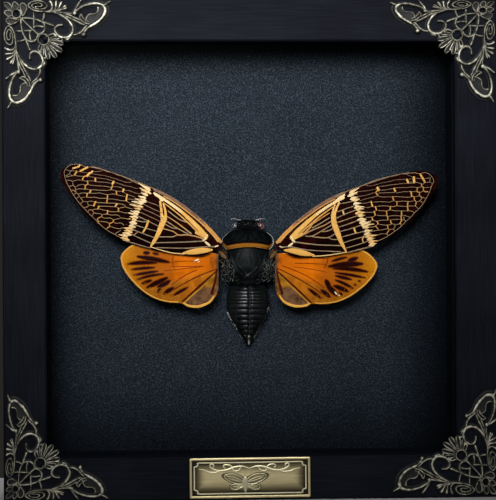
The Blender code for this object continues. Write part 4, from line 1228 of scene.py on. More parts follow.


# Painted highlights: pale arcs where light glints round the eyes: places (u, v, h) and radius
EYE_GLINT_ARCS = [
    ([(-6.3, 8.5, 9.3), (-5.5, 9.4, 9.7), (-4.2, 9.8, 9.9)], 0.11),
    ([(-5.8, 8.1, 9.8), (-5.0, 8.4, 10.0), (-4.3, 8.7, 9.9)], 0.17),
    ([(3.9, 9.5, 9.9), (4.1, 8.8, 10.1), (4.7, 8.4, 10.1)], 0.15),
    ([(5.6, 9.5, 9.3), (6.1, 8.9, 9.3), (5.9, 8.0, 9.5), (5.2, 7.6, 9.7)], 0.09),
]


OCELLI = [(0.0, 9.6, 10.3), (-0.55, 9.0, 10.3), (0.55, 9.0, 10.3)]
RIM_RADII = [0.07, 0.1, 0.15, 0.13, 0.08]


def build_body(matt, satin, glossy):
    """Head, pronotum, thorax and abdomen with their relief and marks."""
    piece = Piece()
    body_part(piece, HEAD, 60, 120, head_relief, head_marks)
    # Pale arcs on the eyes: painted highlights
    for path, radius in EYE_GLINT_ARCS:
        limb(piece, path, [radius] * len(path), 8, 18, pale=0.4, band=NO_BAND)
    for place in OCELLI:
        boss(piece, place, 0.24, brown=0.5, band=NO_BAND)
    for _ in range(30):
        u, v = RANDOM.uniform(-3.8, 3.8), RANDOM.uniform(8.2, 10.4)
        boss(piece, (u, v, 10.75 - 0.022 * u * u - 0.16 * (v - 8.2)), RANDOM.uniform(0.04, 0.09),
             pale=RANDOM.uniform(0.2, 0.7), band=NO_BAND)
    piece.finish("head_cuticle", matt.material, "black_cuticle", ["head"])

    piece = Piece()
    body_part(piece, PRONOTUM, 90, 180, pronotum_relief, pronotum_marks,
              lambda f: PRONOTUM_BOW * f ** 2)
    for side in (-1, 1):
        # Pale rims along the pronotum's sides: painted highlights, lighter on the right
        rim = [(side * (half + 0.02), v, 8.6) for v, half, _, _ in PRONOTUM[1:]]
        limb(piece, rim, RIM_RADII, 8, 40, pale=0.62 if side > 0 else 0.45, band=NO_BAND)
    piece.finish("pronotum_cuticle", matt.material, "black_cuticle", ["pronotum"])

    piece = Piece()
    body_part(piece, THORAX, 110, 180, thorax_relief, thorax_marks,
              lambda f: PRONOTUM_BOW * (1 - f) ** 3, 0.9)
    build_hinges(piece)
    piece.finish("thorax_cuticle", satin.material, "black_cuticle", ["thorax"])

    piece = Piece()
    body_part(piece, ABDOMEN, 220, 120, abdomen_relief, abdomen_marks, fullness=0.95)
    build_fringes(piece)
    piece.finish("abdomen_cuticle", glossy.material, "black_cuticle", ["abdomen"])


def boss(piece, centre, radius, **marks):
    """A small ball half sunk into the body."""
    rings = [circle(centre, radius * math.cos(lean), centre[2] + radius * math.sin(lean), 14)
             for lean in np.radians(np.linspace(-80, 80, 9))]
    loft(piece, rings, on_board, **marks)


EYE_RADIUS = 1.25
EYE_PLACE = (4.95, 8.75, 8.6)


def build_eyes(left, right):
    """Two round compound eyes, a little flattened at the back."""
    for name, side, finish in (("left", -1, left), ("right", 1, right)):
        piece = Piece()
        rings = [circle(EYE_PLACE[1:], EYE_RADIUS * math.cos(lean),
                        side * (EYE_PLACE[0] + EYE_RADIUS * math.sin(lean)), 40)[:, [2, 0, 1]]
                 for lean in np.radians(np.linspace(-84, 84, 29))]
        loft(piece, rings, on_board)
        piece.finish(f"eye_{name}_lens", finish.material, "eye", [f"eye_{name}"])


def limb(piece, points, radii, sides, steps, **marks):
    """A smooth tapering limb through insect places, its ends rounded."""
    rows = catmull(np.column_stack([points, radii]), steps)
    centres = on_board(*rows[:, :3].T)
    ahead = np.gradient(centres, axis=0)
    ahead /= np.linalg.norm(ahead, axis=1)[:, None]
    across = np.cross(ahead, (0.0, 1.0, 0.0))
    across /= np.linalg.norm(across, axis=1)[:, None]
    over = np.cross(across, ahead)
    radii = rows[:, 3].copy()
    centres = np.vstack([centres[:1] - ahead[:1] * radii[0] * 0.8, centres,
                         centres[-1:] + ahead[-1:] * radii[-1] * 0.8])
    across = np.vstack([across[:1], across, across[-1:]])
    over = np.vstack([over[:1], over, over[-1:]])
    radii = np.concatenate([[radii[0] * 0.45], radii, [radii[-1] * 0.45]])
    t = np.linspace(0, 2 * math.pi, sides, endpoint=False)[None, :, None]
    out = np.cos(t) * across[:, None] + np.sin(t) * over[:, None]
    places = centres[:, None] + radii[:, None, None] * out
    piece.add(places.reshape(-1, 3), tube_faces(len(centres), sides), **marks)


ANTENNA = [(3.0, 10.95, 10.0), (3.9, 11.15, 10.4), (5.2, 11.45, 10.6), (6.5, 11.4, 10.6)]
ANTENNA_RADII = [0.22, 0.15, 0.11, 0.06]
# Where each pair of legs leaves the body, then the path and radii that all legs share
LEG_PAIRS = {"fore": (6.0, 3.4), "mid": (6.3, -2.4), "hind": (6.3, -9.0)}
LEG_PATH = [(0.0, 0.0, 0.95), (1.2, 0.95, 1.08), (2.3, 1.8, 1.1), (2.85, 1.3, 1.05),
            (2.9, 0.2, 1.0), (2.7, -2.4, 0.8), (2.1, -3.3, 0.72), (1.2, -4.4, 0.6)]
LEG_RADII = [0.5, 0.48, 0.4, 0.42, 0.34, 0.28, 0.25, 0.16]


def build_limbs(finish, bristle):
    """Bristle antennae and six folded legs with small spines."""
    for name, side in (("left", -1), ("right", 1)):
        piece = Piece()
        path = np.array([(side * u, v, h) for u, v, h in ANTENNA])
        limb(piece, path, ANTENNA_RADII, 10, 24, brown=0.2, band=NO_BAND)
        piece.finish(f"antenna_{name}_bristle", bristle.material, "black_cuticle",
                     [f"antenna_{name}"])
        for pair, (u0, v0) in LEG_PAIRS.items():
            piece = Piece()
            path = np.array([(side * (u0 + u), v0 + v, h) for u, v, h in LEG_PATH])
            limb(piece, path, LEG_RADII, 12, 40, brown=0.25, band=NO_BAND)
            for share in (0.45, 0.6, 0.75):
                at = path[4] * (1 - share) + path[6] * share
                hair(piece, at, at + (side * 0.7, -0.35, 0.0), 0.07, 0.05, brown=0.3, band=NO_BAND)
            piece.finish(f"{pair}_leg_{name}_cuticle", finish.material, "black_cuticle",
                         [f"{pair}_leg_{name}"])


# Wings

FORE_LENGTH = 67.0
HIND_REACH = 38.0
# Steps of the membranes along and across the wing
FORE_STEPS = (190, 56)
HIND_STEPS = (170, 80)
# Height of the foot of a vein over the middle of its membrane
VEIN_FOOT = 0.04
# Mark of places far from any black streak
NO_STREAK = -1.5


def membrane(piece, lead, trail, along, across, place, marks, thickness=0.1):
    """A thin closed sheet spanned by chords between two edges that meet at the tip."""
    front = catmull(lead, along)
    back = catmull(trail, along)
    share = np.linspace(0, 1, across + 1)[None, :, None]
    grid = front[:-1, None] * (1 - share) + back[:-1, None] * share
    flat = np.vstack([grid.reshape(-1, 2), front[-1:]])
    count = len(flat)
    wide = across + 1
    faces = []
    for start in (0, count):
        for i in range(along - 1):
            low = start + i * wide
            faces += [(low + k, low + k + 1, low + wide + k + 1, low + wide + k)
                      for k in range(across)]
        last = start + (along - 1) * wide
        faces += [(last + k, last + k + 1, start + count - 1) for k in range(across)]
    rim = (list(range(wide)) + [i * wide + across for i in range(1, along)] + [count - 1]
           + [i * wide for i in range(along - 1, 0, -1)])
    faces += [(rim[i - 1], rim[i], rim[i] + count, rim[i - 1] + count) for i in range(len(rim))]
    s, t = flat.T
    sheets = [place(s, t, off) for off in (-thickness / 2, thickness / 2)]
    given = {name: np.tile(values, 2) for name, values in marks(s, t).items()}
    piece.add(np.vstack(sheets), faces, **given)


def nearest_line(s, t, lines):
    """Distance from each place to the nearest of some lines."""
    dots = np.vstack([drawn(line, 0.35)[:, :2] for line in lines])
    best = np.full(len(s), 1e9)
    for start in range(0, len(dots), 200):
        part = dots[start:start + 200]
        away = np.hypot(s[:, None] - part[None, :, 0], t[:, None] - part[None, :, 1])
        best = np.minimum(best, away.min(axis=1))
    return best


# Forewing outline, from the root: s runs to the tip and t towards the fore edge
FORE_EDGE = [(0, 1.9), (5, 4.3), (10, 6.2), (15, 7.5), (20, 8.6), (25, 9.3), (30, 9.5), (40, 9.0),
             (50, 8.1), (55, 7.2), (60, 5.9), (63, 4.8), (65.2, 3.2), (66.5, 1.6), (67, 0.2)]
HIND_EDGE = [(0, -0.9), (2, -1.9), (3.6, -4.4), (6, -6.4), (11, -8.4), (20, -11.2), (30, -13.1),
             (35, -13.7), (40, -13.4), (50, -11.3), (57, -8.1), (63, -4.8), (65.4, -3.1),
             (66.6, -1.5), (67, 0.2)]
# Each forewing: side, root (u, v) and angle of its axis in degrees
FOREWINGS = {"left": (-1, -10.3, 0.6, 25.8), "right": (1, 10.8, 0.3, 23.2)}

# Turn in degrees of the axes that each wing's veins are drawn in
NET_TURNS = {"left": 0.0, "right": -1.25}

# Stripes beside the fore edge: tone, inset and width at both ends, where it starts and stops
EDGE_STRIPES = [
    (0.24, (0.45, 0.55), (1.0, 1.2), (9, 32)),
    (0.5, (0.5, 0.5), (1.1, 0.8), (1, 12)),
    (0.6, (1.3, 1.3), (0.7, 0.4), (2, 28)),
    (0.02, (2.3, 1.9), (0.3, 0.25), (6, 27)),
    (0.75, (3.8, 2.6), (1.9, 1.3), (7, 20)),
    (0.92, (2.7, 2.1), (1.3, 1.1), (19, 31)),
    (0.60, (5.0, 3.6), (0.7, 0.5), (9, 27)),
    (0.30, (0.3, 0.3), (0.5, 0.35), (28, 58)),
]

# Veins and pads from the root to the node: tone, widths and points
PADS = [
    (0.72, (1.6, 1.3), [(7.6, 1.1), (10.8, 1.1)]),
    (0.98, (0.6, 0.6), [(6.7, 2.0), (6.9, 0.6)]),
    (0.97, (0.8, 0.8), [(6.7, 0.4), (7.2, -0.5)]),
    (0.95, (0.7, 0.9, 0.7), [(6.2, -0.7), (5.2, -1.0), (4.3, -1.2)]),
    (1.0, (0.4, 0.5, 0.3), [(1.3, 0.1), (1.8, -0.4), (2.3, -0.8)]),
    (0.25, (0.4, 0.35), [(24, -11.8), (29, -12.7), (34, -13.4)]),
]
BASAL_VEINS = {
    "left": [
        (0.40, (0.5, 0.4), [(15.5, 3), (19, 2.8), (24, 3.8)]),
        (0.45, (0.6, 0.4), [(12.5, -0.2), (16, 0.6), (20, 1.4), (23.5, 1.8)]),
        (0.40, (0.45, 0.4), [(13.5, -0.8), (18, -0.6), (23, 0.1)]),
        (0.40, (0.4, 0.4), [(18, -0.7), (20, -1.3), (23, -1.2)]),
        (0.45, (0.6, 0.45), [(7, 0), (10, -0.3), (14, -1.4), (16.5, -2.7), (19, -2.4), (23, -3.1)]),
        (0.38, (0.45, 0.42), [(17, -2.9), (18.5, -4.4), (23.2, -6.6)]),
        (0.36, (0.45, 0.42), [(7.2, -0.8), (15, -5), (23.3, -9.2)]),
        (0.36, (0.5, 0.4), [(2, -0.8), (5, -2.1), (12, -6.1), (22, -10.6)]),
        (0.85, (0.45, 0.4), [(11.5, -8.3), (17, -10.2), (24, -11.3)]),
        (0.74, (0.9, 2.1, 2.1, 0.6), [(2.8, -2.4), (5.5, -3.9), (9, -6.2), (12, -8.1)]),
    ],
    "right": [
        (0.50, (0.8, 0.4), [(11, 0.8), (14.5, 2.2), (16, 3.2), (19, 3.8), (23.7, 4.7)]),
        (0.40, (0.45, 0.4), [(15.5, 1.9), (19, 2.3), (23, 3)]),
        (0.45, (0.6, 0.4), [(12, 0.8), (15, 1.1), (20, 1.1), (23, 1.5)]),
        (0.40, (0.45, 0.4), [(12, -0.1), (14, -0.9), (17, -0.7), (23, 0.2)]),
        (0.40, (0.4, 0.4), [(18.5, -0.9), (20.5, -1.4), (23, -1.3)]),
        (0.42, (0.5, 0.4), [(14, -1), (16, -2.2), (19.7, -3.8), (23, -3.3)]),
        (0.38, (0.42, 0.4), [(19.8, -4), (21, -5.1), (23.2, -6)]),
        (0.38, (0.5, 0.42), [(7, -0.4), (14.7, -4.7), (23, -8.5)]),
        (0.36, (0.5, 0.4), [(1.6, -0.5), (5, -1.6), (11, -5.4), (22, -10.6)]),
        (0.85, (0.45, 0.4), [(11.5, -8.2), (17, -10), (24, -11.6)]),
        (0.72, (0.7, 2.1, 2.1, 0.6), [(2.5, -2), (5.5, -3.5), (9, -5.9), (12.2, -8)]),
    ],
}

# Yellow band at the node, with two arms and a cream cap at its fore end
NODAL_BANDS = {
    "left": [
        (0.76, (0.8, 1.0, 1.2), [(28.3, 5.8), (26.5, 3), (24.8, 0.2)]),
        (0.76, (0.7, 0.9, 1.1), [(26.8, 5.4), (24.8, 3.1), (23.5, 0.2)]),
        (0.73, (2.1, 2.1, 1.6, 1.3, 0.5), [(24.1, 0.8), (23.9, -2.5), (23.7, -6), (23.9, -9),
                                           (24.2, -11.4)]),
        (0.95, (1.2, 1.2, 0.8), [(27.8, 6.6), (29.5, 7.3), (31.7, 7.6)]),
    ],
    "right": [
        (0.78, (0.7, 0.9, 1.1), [(28.6, 7), (26.8, 5.2), (25, 3.2)]),
        (0.80, (0.5, 0.7, 0.9), [(27.2, 7.4), (25.8, 5.6), (24.2, 3.4)]),
        (0.74, (1.9, 2.1, 2.1, 1.7, 1.2, 0.5), [(24.8, 3.4), (23.9, 0.6), (23.7, -3), (23.6, -6),
                                                (23.8, -9), (24.1, -11.4)]),
        (0.95, (1.1, 1.2, 0.8), [(28, 7.9), (30, 8.5), (31.6, 8.9)]),
    ],
}

# Veins between the two bands: where each leaves the node band and where it meets the cream band
MIDDLE_ROWS = {
    "left": [(4.0, 3.5), (2.2, 2.1), (0.5, 0.4), (-1.1, -1.2), (-3.0, -2.9), (-5.0, -6.4),
             (-7.6, -8.3), (-10.0, -10.1), (-11.9, -13.3)],
    "right": [(6.4, 5.5), (3.9, 3.6), (1.8, 1.9), (0.2, -0.3), (-1.6, -2.1), (-3.4, -4.2),
              (-5.6, -6.8), (-7.9, -8.8), (-10.1, -10.8), (-11.9, -13.0)],
}
MIDDLE_CROSSES = {
    "left": [(0.72, (0.9, 0.7), [(29.2, -2.9), (28.9, -5), (29.1, -7.5)]),
             (0.4, (0.4, 0.4), [(29.3, -3.2), (31, -4.1), (33.2, -4.6)]),
             (0.5, (0.4, 0.4), [(31, -8.4), (31.8, -10)])],
    "right": [(0.85, (0.6, 0.6), [(28.7, 3.4), (28.6, 2)]),
              (0.76, (0.75, 0.7), [(30.2, -4.2), (30.1, -6)]),
              (0.75, (0.45, 0.45), [(32.6, -8.4), (31.6, -9.4), (31.5, -10.7)])],
}

# Cream band: where along the wing it starts and is fullest
CREAM_INNER = 33.4
CREAM_CORE = 34.6
# Flecks between the fingers: tones, widths and where along the wing they start
FLECK_TONES = (0.45, 0.0)
FLECK_WIDTHS = (0.2, 0.38, 0.2)
FLECK_START = (33.4, 35.6)
# Fingers of the cream band: t of the first and the last, then how far out each one reaches
CREAM_FINGERS = {
    "left": (7.9, -12.7, [38.8, 37.5, 36.2, 36.6, 37.3, 38.0, 38.2, 36.0, 36.8, 37.2, 36.2, 35.0,
                          35.4, 35.0, 36.5, 35.8, 36.0, 37.0, 36.0]),
    "right": (9.0, -12.7, [37.9, 37.0, 36.0, 36.3, 36.2, 36.8, 36.5, 36.4, 36.0, 35.8, 37.0, 37.9,
                           35.7, 36.2, 35.4, 37.5, 36.2, 36.8, 36.0]),
}


def edge_stripes():
    """Stripes that follow the fore edge of either wing."""
    rows = []
    for tone, insets, widths, (start, stop) in EDGE_STRIPES:
        s = np.linspace(start, stop, 10)
        t = np.interp(s, *np.transpose(FORE_EDGE)) - np.interp(s, (start, stop), insets)
        rows.append((tone, widths, np.column_stack([s, t])))
    return rows


def middle_veins(name):
    """Nearly straight veins that cross the cells between the bands."""
    rows = []
    for t0, t1 in MIDDLE_ROWS[name]:
        start = 24.6 + 0.75 * max(t0 - 1.0, 0.0)
        middle = (t0 + t1) / 2 + RANDOM.uniform(-0.15, 0.15)
        tone = 0.24 if t0 > -2 and name == "left" else 0.38
        points = [(start, t0), ((start + CREAM_INNER) / 2, middle), (CREAM_INNER, t1)]
        rows.append((tone, (0.36, 0.38, 0.4), points))
    return rows + MIDDLE_CROSSES[name]


def cream_band(name):
    """Ragged cream band: overlapping fingers of unequal reach with tan flecks between them."""
    fore, rear, reaches = CREAM_FINGERS[name]
    rows = []
    for k, reach in enumerate(reaches):
        share = k / (len(reaches) - 1)
        t = fore + (rear - fore) * share + RANDOM.uniform(-0.22, 0.22)
        slope = np.interp(share, (0.0, 0.25, 0.6, 1.0), (0.1, -0.25, -0.3, -0.15))
        inner = CREAM_INNER + RANDOM.uniform(-0.9, 0.5)
        wide = RANDOM.uniform(1.0, 1.6)
        stops = (inner, (inner + CREAM_CORE) / 2, CREAM_CORE, (CREAM_CORE + reach) / 2, reach)
        points = [(s, t + slope * (s - inner)) for s in stops]
        tone = 1.0 - 0.1 * share + RANDOM.uniform(-0.12, 0.0)
        rows.append((tone, (0.5, wide, wide, 0.7, 0.25), points))
        for fleck_tone in FLECK_TONES:
            s = RANDOM.uniform(*FLECK_START)
            points = [(s, t - 0.4), (s + 0.5, t - 0.5), (s + 1.0, t - 0.6)]
            rows.append((fleck_tone, FLECK_WIDTHS, points))
    return rows


# Thin veins of the outer net
NET_LINES = {
    "left": [
        [(38.5, 8.2), (45, 8.2), (47, 7.9), (50, 7.7), (51.2, 7.3), (53.6, 7.3), (55.4, 7.0),
         (56.7, 6.7), (57.8, 6.1), (58.6, 5.8), (60, 5.4), (61.8, 5.3), (63.9, 4.3), (64.9, 3.5),
         (65.6, 2.3), (65.85, 1.2), (65.8, 0.1), (65.2, -0.9), (64.4, -1.9), (63.6, -2.7),
         (62.6, -3.6), (61.8, -4.1), (60.7, -4.9), (59.2, -6.0), (57.5, -7.0), (55.5, -8.0),
         (53.3, -8.9), (51, -9.8), (49.3, -10.4), (47.5, -11.0), (45.5, -11.7), (43.5, -12.3),
         (41, -12.8), (38.3, -12.9), (35.5, -13.2)],
        [(41.2, 7.9), (42, 7.2), (43, 6.8), (44.5, 6.55), (47.5, 6.2), (50, 5.8), (51.6, 5.5),
         (53, 5.0), (54.2, 4.7), (56, 4.1)],
        [(53, 7.1), (53.3, 6.6), (54, 6.1), (55, 5.6), (56.3, 4.7)],
        [(38, 6.6), (39, 6.25), (41, 5.95), (43, 5.4), (45, 5.15), (47, 4.9), (48.2, 5.0),
         (50, 4.7), (51.4, 4.3), (54, 3.4), (55.5, 3.0), (57.3, 2.5)],
        [(36.3, 5.1), (38, 4.65), (40, 4.45), (41, 4.3), (42.4, 3.7)],
        [(43.2, 4.0), (44, 4.1), (45, 3.85), (46, 3.5), (46.8, 3.0)],
        [(43.3, 2.9), (44, 2.5), (45, 2.2), (46.8, 1.9)],
        [(37.5, 3.1), (38.5, 3.05), (40.4, 2.8)],
        [(41.3, 2.8), (42.4, 3.1)],
        [(48.1, 3.9), (50, 3.4), (52, 2.6), (53.5, 2.1), (54.5, 1.9), (55.5, 1.4), (56.2, 0.9)],
        [(36.5, 2.1), (38, 2.0), (39.7, 1.3)],
        [(41.2, 1.7), (43, 1.2), (43.9, 1.0)],
        [(47.2, 2.6), (49, 2.15), (50, 1.75), (52.4, 0.84), (54.3, 0.1), (55.5, -0.2)],
        [(36, 0.8), (38.5, 0.3), (40.1, 0.3), (42, -0.4), (44, -0.9), (45.7, -1.5), (46.6, -1.9)],
        [(44.6, 1.0), (46, 0.4), (46.7, -0.1), (47.2, -0.5), (49, -0.9), (50, -1.1), (51.2, -1.7),
         (52.4, -2.4), (53.7, -2.8)],
        [(47, 1.8), (47.7, 1.2), (48.7, 0.6), (50, 0.05), (51.2, -0.5), (52.4, -0.85),
         (53.6, -1.45), (55.6, -2.1)],
        [(36.5, -1.3), (38, -1.6), (39.2, -1.7)],
        [(39.5, -1.4), (40.5, -1.3), (42, -1.8), (43.3, -2.2), (45.2, -3.0), (46.1, -3.4),
         (48, -4.2), (50.2, -5.2)],
        [(39.4, -1.9), (40.6, -2.8), (41.1, -3.3)],
        [(41.4, -3.5), (42.4, -3.2)],
        [(42.9, -3.5), (45, -4.3), (47, -5.2), (48.4, -5.9)],
        [(47.2, -2.0), (48.4, -2.5), (49.6, -3.1), (51.2, -3.4), (52.4, -4.1), (54.1, -4.8)],
        [(36.6, -2.7), (38, -3.7), (39, -4.0), (40.8, -4.4), (42.3, -5.3), (44.3, -6.0)],
        [(44.9, -5.95), (46, -6.35), (47.9, -6.7)],
        [(35.6, -5.3), (37.5, -5.8), (39.3, -6.4)],
        [(39.6, -5.9), (41, -5.9), (42.6, -6.8), (44.2, -7.2), (45.6, -7.9), (46, -8.2), (47, -8.3),
         (49, -9.0)],
        [(39.4, -6.7), (40.7, -7.7), (41.1, -8.1)],
        [(36.8, -8.3), (37.5, -8.0), (38.2, -8.0), (39.8, -8.9), (41, -8.8)],
        [(41.6, -8.1), (42.5, -8.0), (43.2, -8.3), (44.8, -9.1), (45.9, -8.8)],
        [(36, -8.9), (37.3, -9.8), (37.7, -10.2), (39.5, -10.7), (41.4, -10.9)],
        [(42, -10.1), (43, -10.0), (45, -10.6), (46, -11.2)],
        [(37.1, -10.6), (38, -11.9), (38.3, -12.7)],
        [(48.4, -7.0), (49.1, -7.4), (49.8, -8.0), (49.9, -8.4), (49.2, -8.9), (49.1, -9.6),
         (49.4, -10.3)],
        [(51, -5.2), (52, -5.4), (52.7, -5.9), (53, -6.4), (52.1, -7.3), (52.3, -8.0),
         (53.4, -8.8)],
        [(50.6, -6.6), (52.1, -7.2)],
        [(50, -8.3), (50.7, -8.4), (51.2, -8.9), (51.2, -9.6)],
        [(54.8, -5.1), (55.8, -6.0), (55.2, -6.4), (54.7, -6.9), (54.9, -7.7), (55.2, -8.1)],
        [(53.2, -6.2), (54.6, -6.8)],
        [(55.8, -6.0), (56.6, -5.7), (57.3, -5.2), (58.6, -4.7), (59, -4.2), (59.3, -3.6),
         (59.8, -3.1), (60.5, -2.9), (61, -2.3), (61.4, -1.7)],
        [(56.9, -6), (57.2, -6.7), (57.7, -7)],
        [(58.2, -5.1), (58.6, -5.5), (59, -6.1)],
        [(58.7, -4.8), (59.5, -4.5), (60, -4.7), (60.2, -5.3)],
        [(60.8, -2.9), (61, -3.3), (61.9, -4.0)],
        [(61.4, -1.8), (62.3, -1.7), (63.3, -2.1), (63.6, -2.6)],
        [(56.6, 0.7), (57.7, 0.4), (58.3, 0.3)],
        [(58.9, 0), (59.6, -0.2), (60.4, -0.7), (61.2, -1.4)],
        [(56.6, -0.9), (57.5, -1.1), (58.3, -1.5), (59.5, -2.9)],
        [(56, -2.3), (57.6, -3.0), (58.3, -3.3), (59, -4.1)],
        [(54.5, -3.3), (56.1, -4.0), (57.4, -5.0)],
        [(53.9, -2.9), (54.3, -3.4)],
        [(58, 3.7), (59.3, 3.1), (60.2, 3.0), (61.2, 2.6)],
        [(58.7, 1.7), (60.3, 1.1), (61.6, 0.9)],
        [(62.3, 2.2), (63, 2.1), (64, 1.5), (65.6, 1.2)],
        [(63.4, 2.8), (63.6, 1.8)],
        [(63.6, 1.6), (63.8, 0.8), (63.4, 0.2), (62.3, 0.4)],
        [(63.9, 0.3), (64.2, -0.5), (64.8, -1.0)],
        [(62, 0.5), (63.5, -0.6), (64.3, -1.2)],
    ],
    "right": [
        [(38, 9.6), (45, 9.6), (50, 8.9), (51, 8.6), (53.6, 8.2), (55, 8.0), (56.6, 7.4),
         (57.6, 7.3), (58.7, 6.9), (59.9, 6.5), (60.6, 6.0), (61.8, 5.3), (62.6, 5.3), (63.5, 5.1),
         (64.1, 4.7), (64.7, 4.0), (65.1, 3.2), (65.4, 2.4), (65.5, 1.6), (65.3, 0.7), (64.6, 0.2),
         (63.8, -0.6), (62.9, -1.7), (61.8, -2.8), (60.5, -3.9), (59.3, -4.9), (57.7, -5.9),
         (56, -6.8), (54, -7.5), (52.5, -8.3), (50.5, -9.1), (49.3, -9.5), (47.6, -10.2),
         (46.5, -10.7), (44.5, -11.2), (42.5, -11.7), (40, -12.1), (37, -12.2), (36.2, -12.3)],
        [(40.8, 9.0), (42, 8.4), (44, 7.95), (46, 7.8), (48.3, 7.4), (50, 7.0), (52, 6.8),
         (54, 6.1), (55.7, 5.6)],
        [(36.5, 8.1), (38.5, 7.6), (40.5, 7.0), (42.5, 6.6), (43.6, 6.3)],
        [(45.3, 6.7), (47, 6.3), (49, 5.8), (50, 5.6), (52, 5.0), (54, 4.5), (56, 3.7), (58, 3.0)],
        [(36.3, 6.3), (39, 5.7), (42, 5.4), (42.9, 5.2)],
        [(45, 5.4), (47, 4.7), (49, 4.3), (49.8, 4.1)],
        [(36.3, 4.6), (39, 4.35), (41, 4.0), (43.3, 3.8)],
        [(43.9, 4.6), (45.5, 4.1), (47.5, 3.3), (49.3, 2.7), (50, 2.6)],
        [(43.5, 3.5), (45, 2.5), (47, 1.8), (48.4, 1.2)],
        [(36, 3.5), (38, 2.9), (39.6, 2.7)],
        [(40.8, 2.2), (42.5, 1.6), (44.5, 0.8), (46.5, -0.1), (48.2, -0.3)],
        [(36.5, 1.8), (38.3, 1.0), (39.9, 0.9), (40.6, 0.1)],
        [(41.4, 0.1), (43, -0.3), (45, -1.1), (46.2, -2.0)],
        [(36.3, -0.3), (38, -0.9), (39.6, -1.5), (40.4, -1.2)],
        [(41.3, -1.5), (43, -2.3), (44.2, -2.9), (45.5, -2.9)],
        [(36, -2.1), (38, -2.9), (39.4, -2.8)],
        [(40.3, -3.1), (42, -3.9), (43.6, -4.5)],
        [(36.2, -4.0), (38, -4.2), (39.2, -5.1)],
        [(39.8, -5.1), (41.3, -5.5), (43.1, -6.2)],
        [(35.9, -6.1), (37.3, -6.6), (38.6, -6.4), (39.2, -6.2)],
        [(39.8, -6.6), (41.5, -7.6), (42.4, -8.0)],
        [(36, -7.9), (38, -8.3), (40, -8.9), (42, -9.2)],
        [(37, -10), (39, -10.2), (41, -10.9)],
        [(44.1, -5.0), (46, -5.5), (48, -6.4), (48.8, -6.7)],
        [(44.9, -6.7), (46, -7.1), (48, -7.8)],
        [(45.7, -3.0), (47, -3.9), (49.5, -5.0)],
        [(46.3, -2.0), (48.3, -2.5)],
        [(48.6, 1.2), (50, 0.7), (52, -0.3), (54, -1.2), (55, -1.5)],
        [(49.1, -1), (50.3, -1.4), (52, -2.0), (53.2, -2.7)],
        [(48.7, -2.6), (50.3, -3.4), (52.2, -4.3)],
        [(49.6, -5.0), (51, -5.6), (51.8, -5.9)],
        [(49.2, -6.7), (50.6, -7.5), (51.6, -8.6)],
        [(49.5, -7.5), (49.3, -8.4), (49.6, -9.3)],
        [(48.4, -8.3), (49.2, -8.5)],
        [(47.3, -9.3), (47.5, -10.1)],
        [(44.1, -8.1), (44.9, -8.6), (45.3, -9.0), (47, -9.3)],
        [(45.3, -9.1), (44.8, -9.8), (44.1, -10.3), (44.3, -11.1)],
        [(44, -10.2), (42.6, -9.8)],
        [(42.9, -8.2), (44, -8.2)],
        [(50.4, 2.0), (52.5, 1.6), (54.5, 0.9), (56.2, 0.2), (57.8, -0.2)],
        [(50.5, 4.0), (52.5, 3.4), (54.5, 2.6), (56.5, 2.0), (58.4, 1.0)],
        [(58.8, 0.9), (59.6, 0.6), (60.2, 0.8)],
        [(56.8, 7.4), (57, 6.8), (58.2, 5.6), (58.8, 5.2)],
        [(59, 4.7), (60.5, 3.9), (61.2, 3.5)],
        [(56.7, 5.1), (57.7, 4.9)],
        [(56.6, 4.0), (57.7, 3.6)],
        [(58.7, 3.1), (60.1, 2.1), (60.6, 1.6)],
        [(62.3, 3.0), (64, 2.7), (64.4, 2.3)],
        [(64.6, 2.6), (63.8, 1.1)],
        [(62.1, 1.6), (63.9, 0.9), (64.4, 0.4)],
        [(61, 1.2), (61.6, 1.6)],
        [(60.9, -0.1), (62.4, -0.5), (63.3, -0.9)],
        [(58.5, -1.2), (60.1, -1.2)],
        [(56.1, -2), (57.9, -2.2)],
        [(53.5, -2.9), (55.2, -3.2)],
        [(52.8, -4.3), (54.4, -5.0), (55.1, -5.3), (55.8, -6.6)],
        [(56.2, -4.1), (57.6, -4.1), (58.8, -3.4), (59.6, -3.7), (60.2, -4.2)],
        [(57.6, -4.2), (58.3, -5.3)],
        [(52, -5.9), (53.4, -6.8), (53.8, -7.5)],
    ],
}

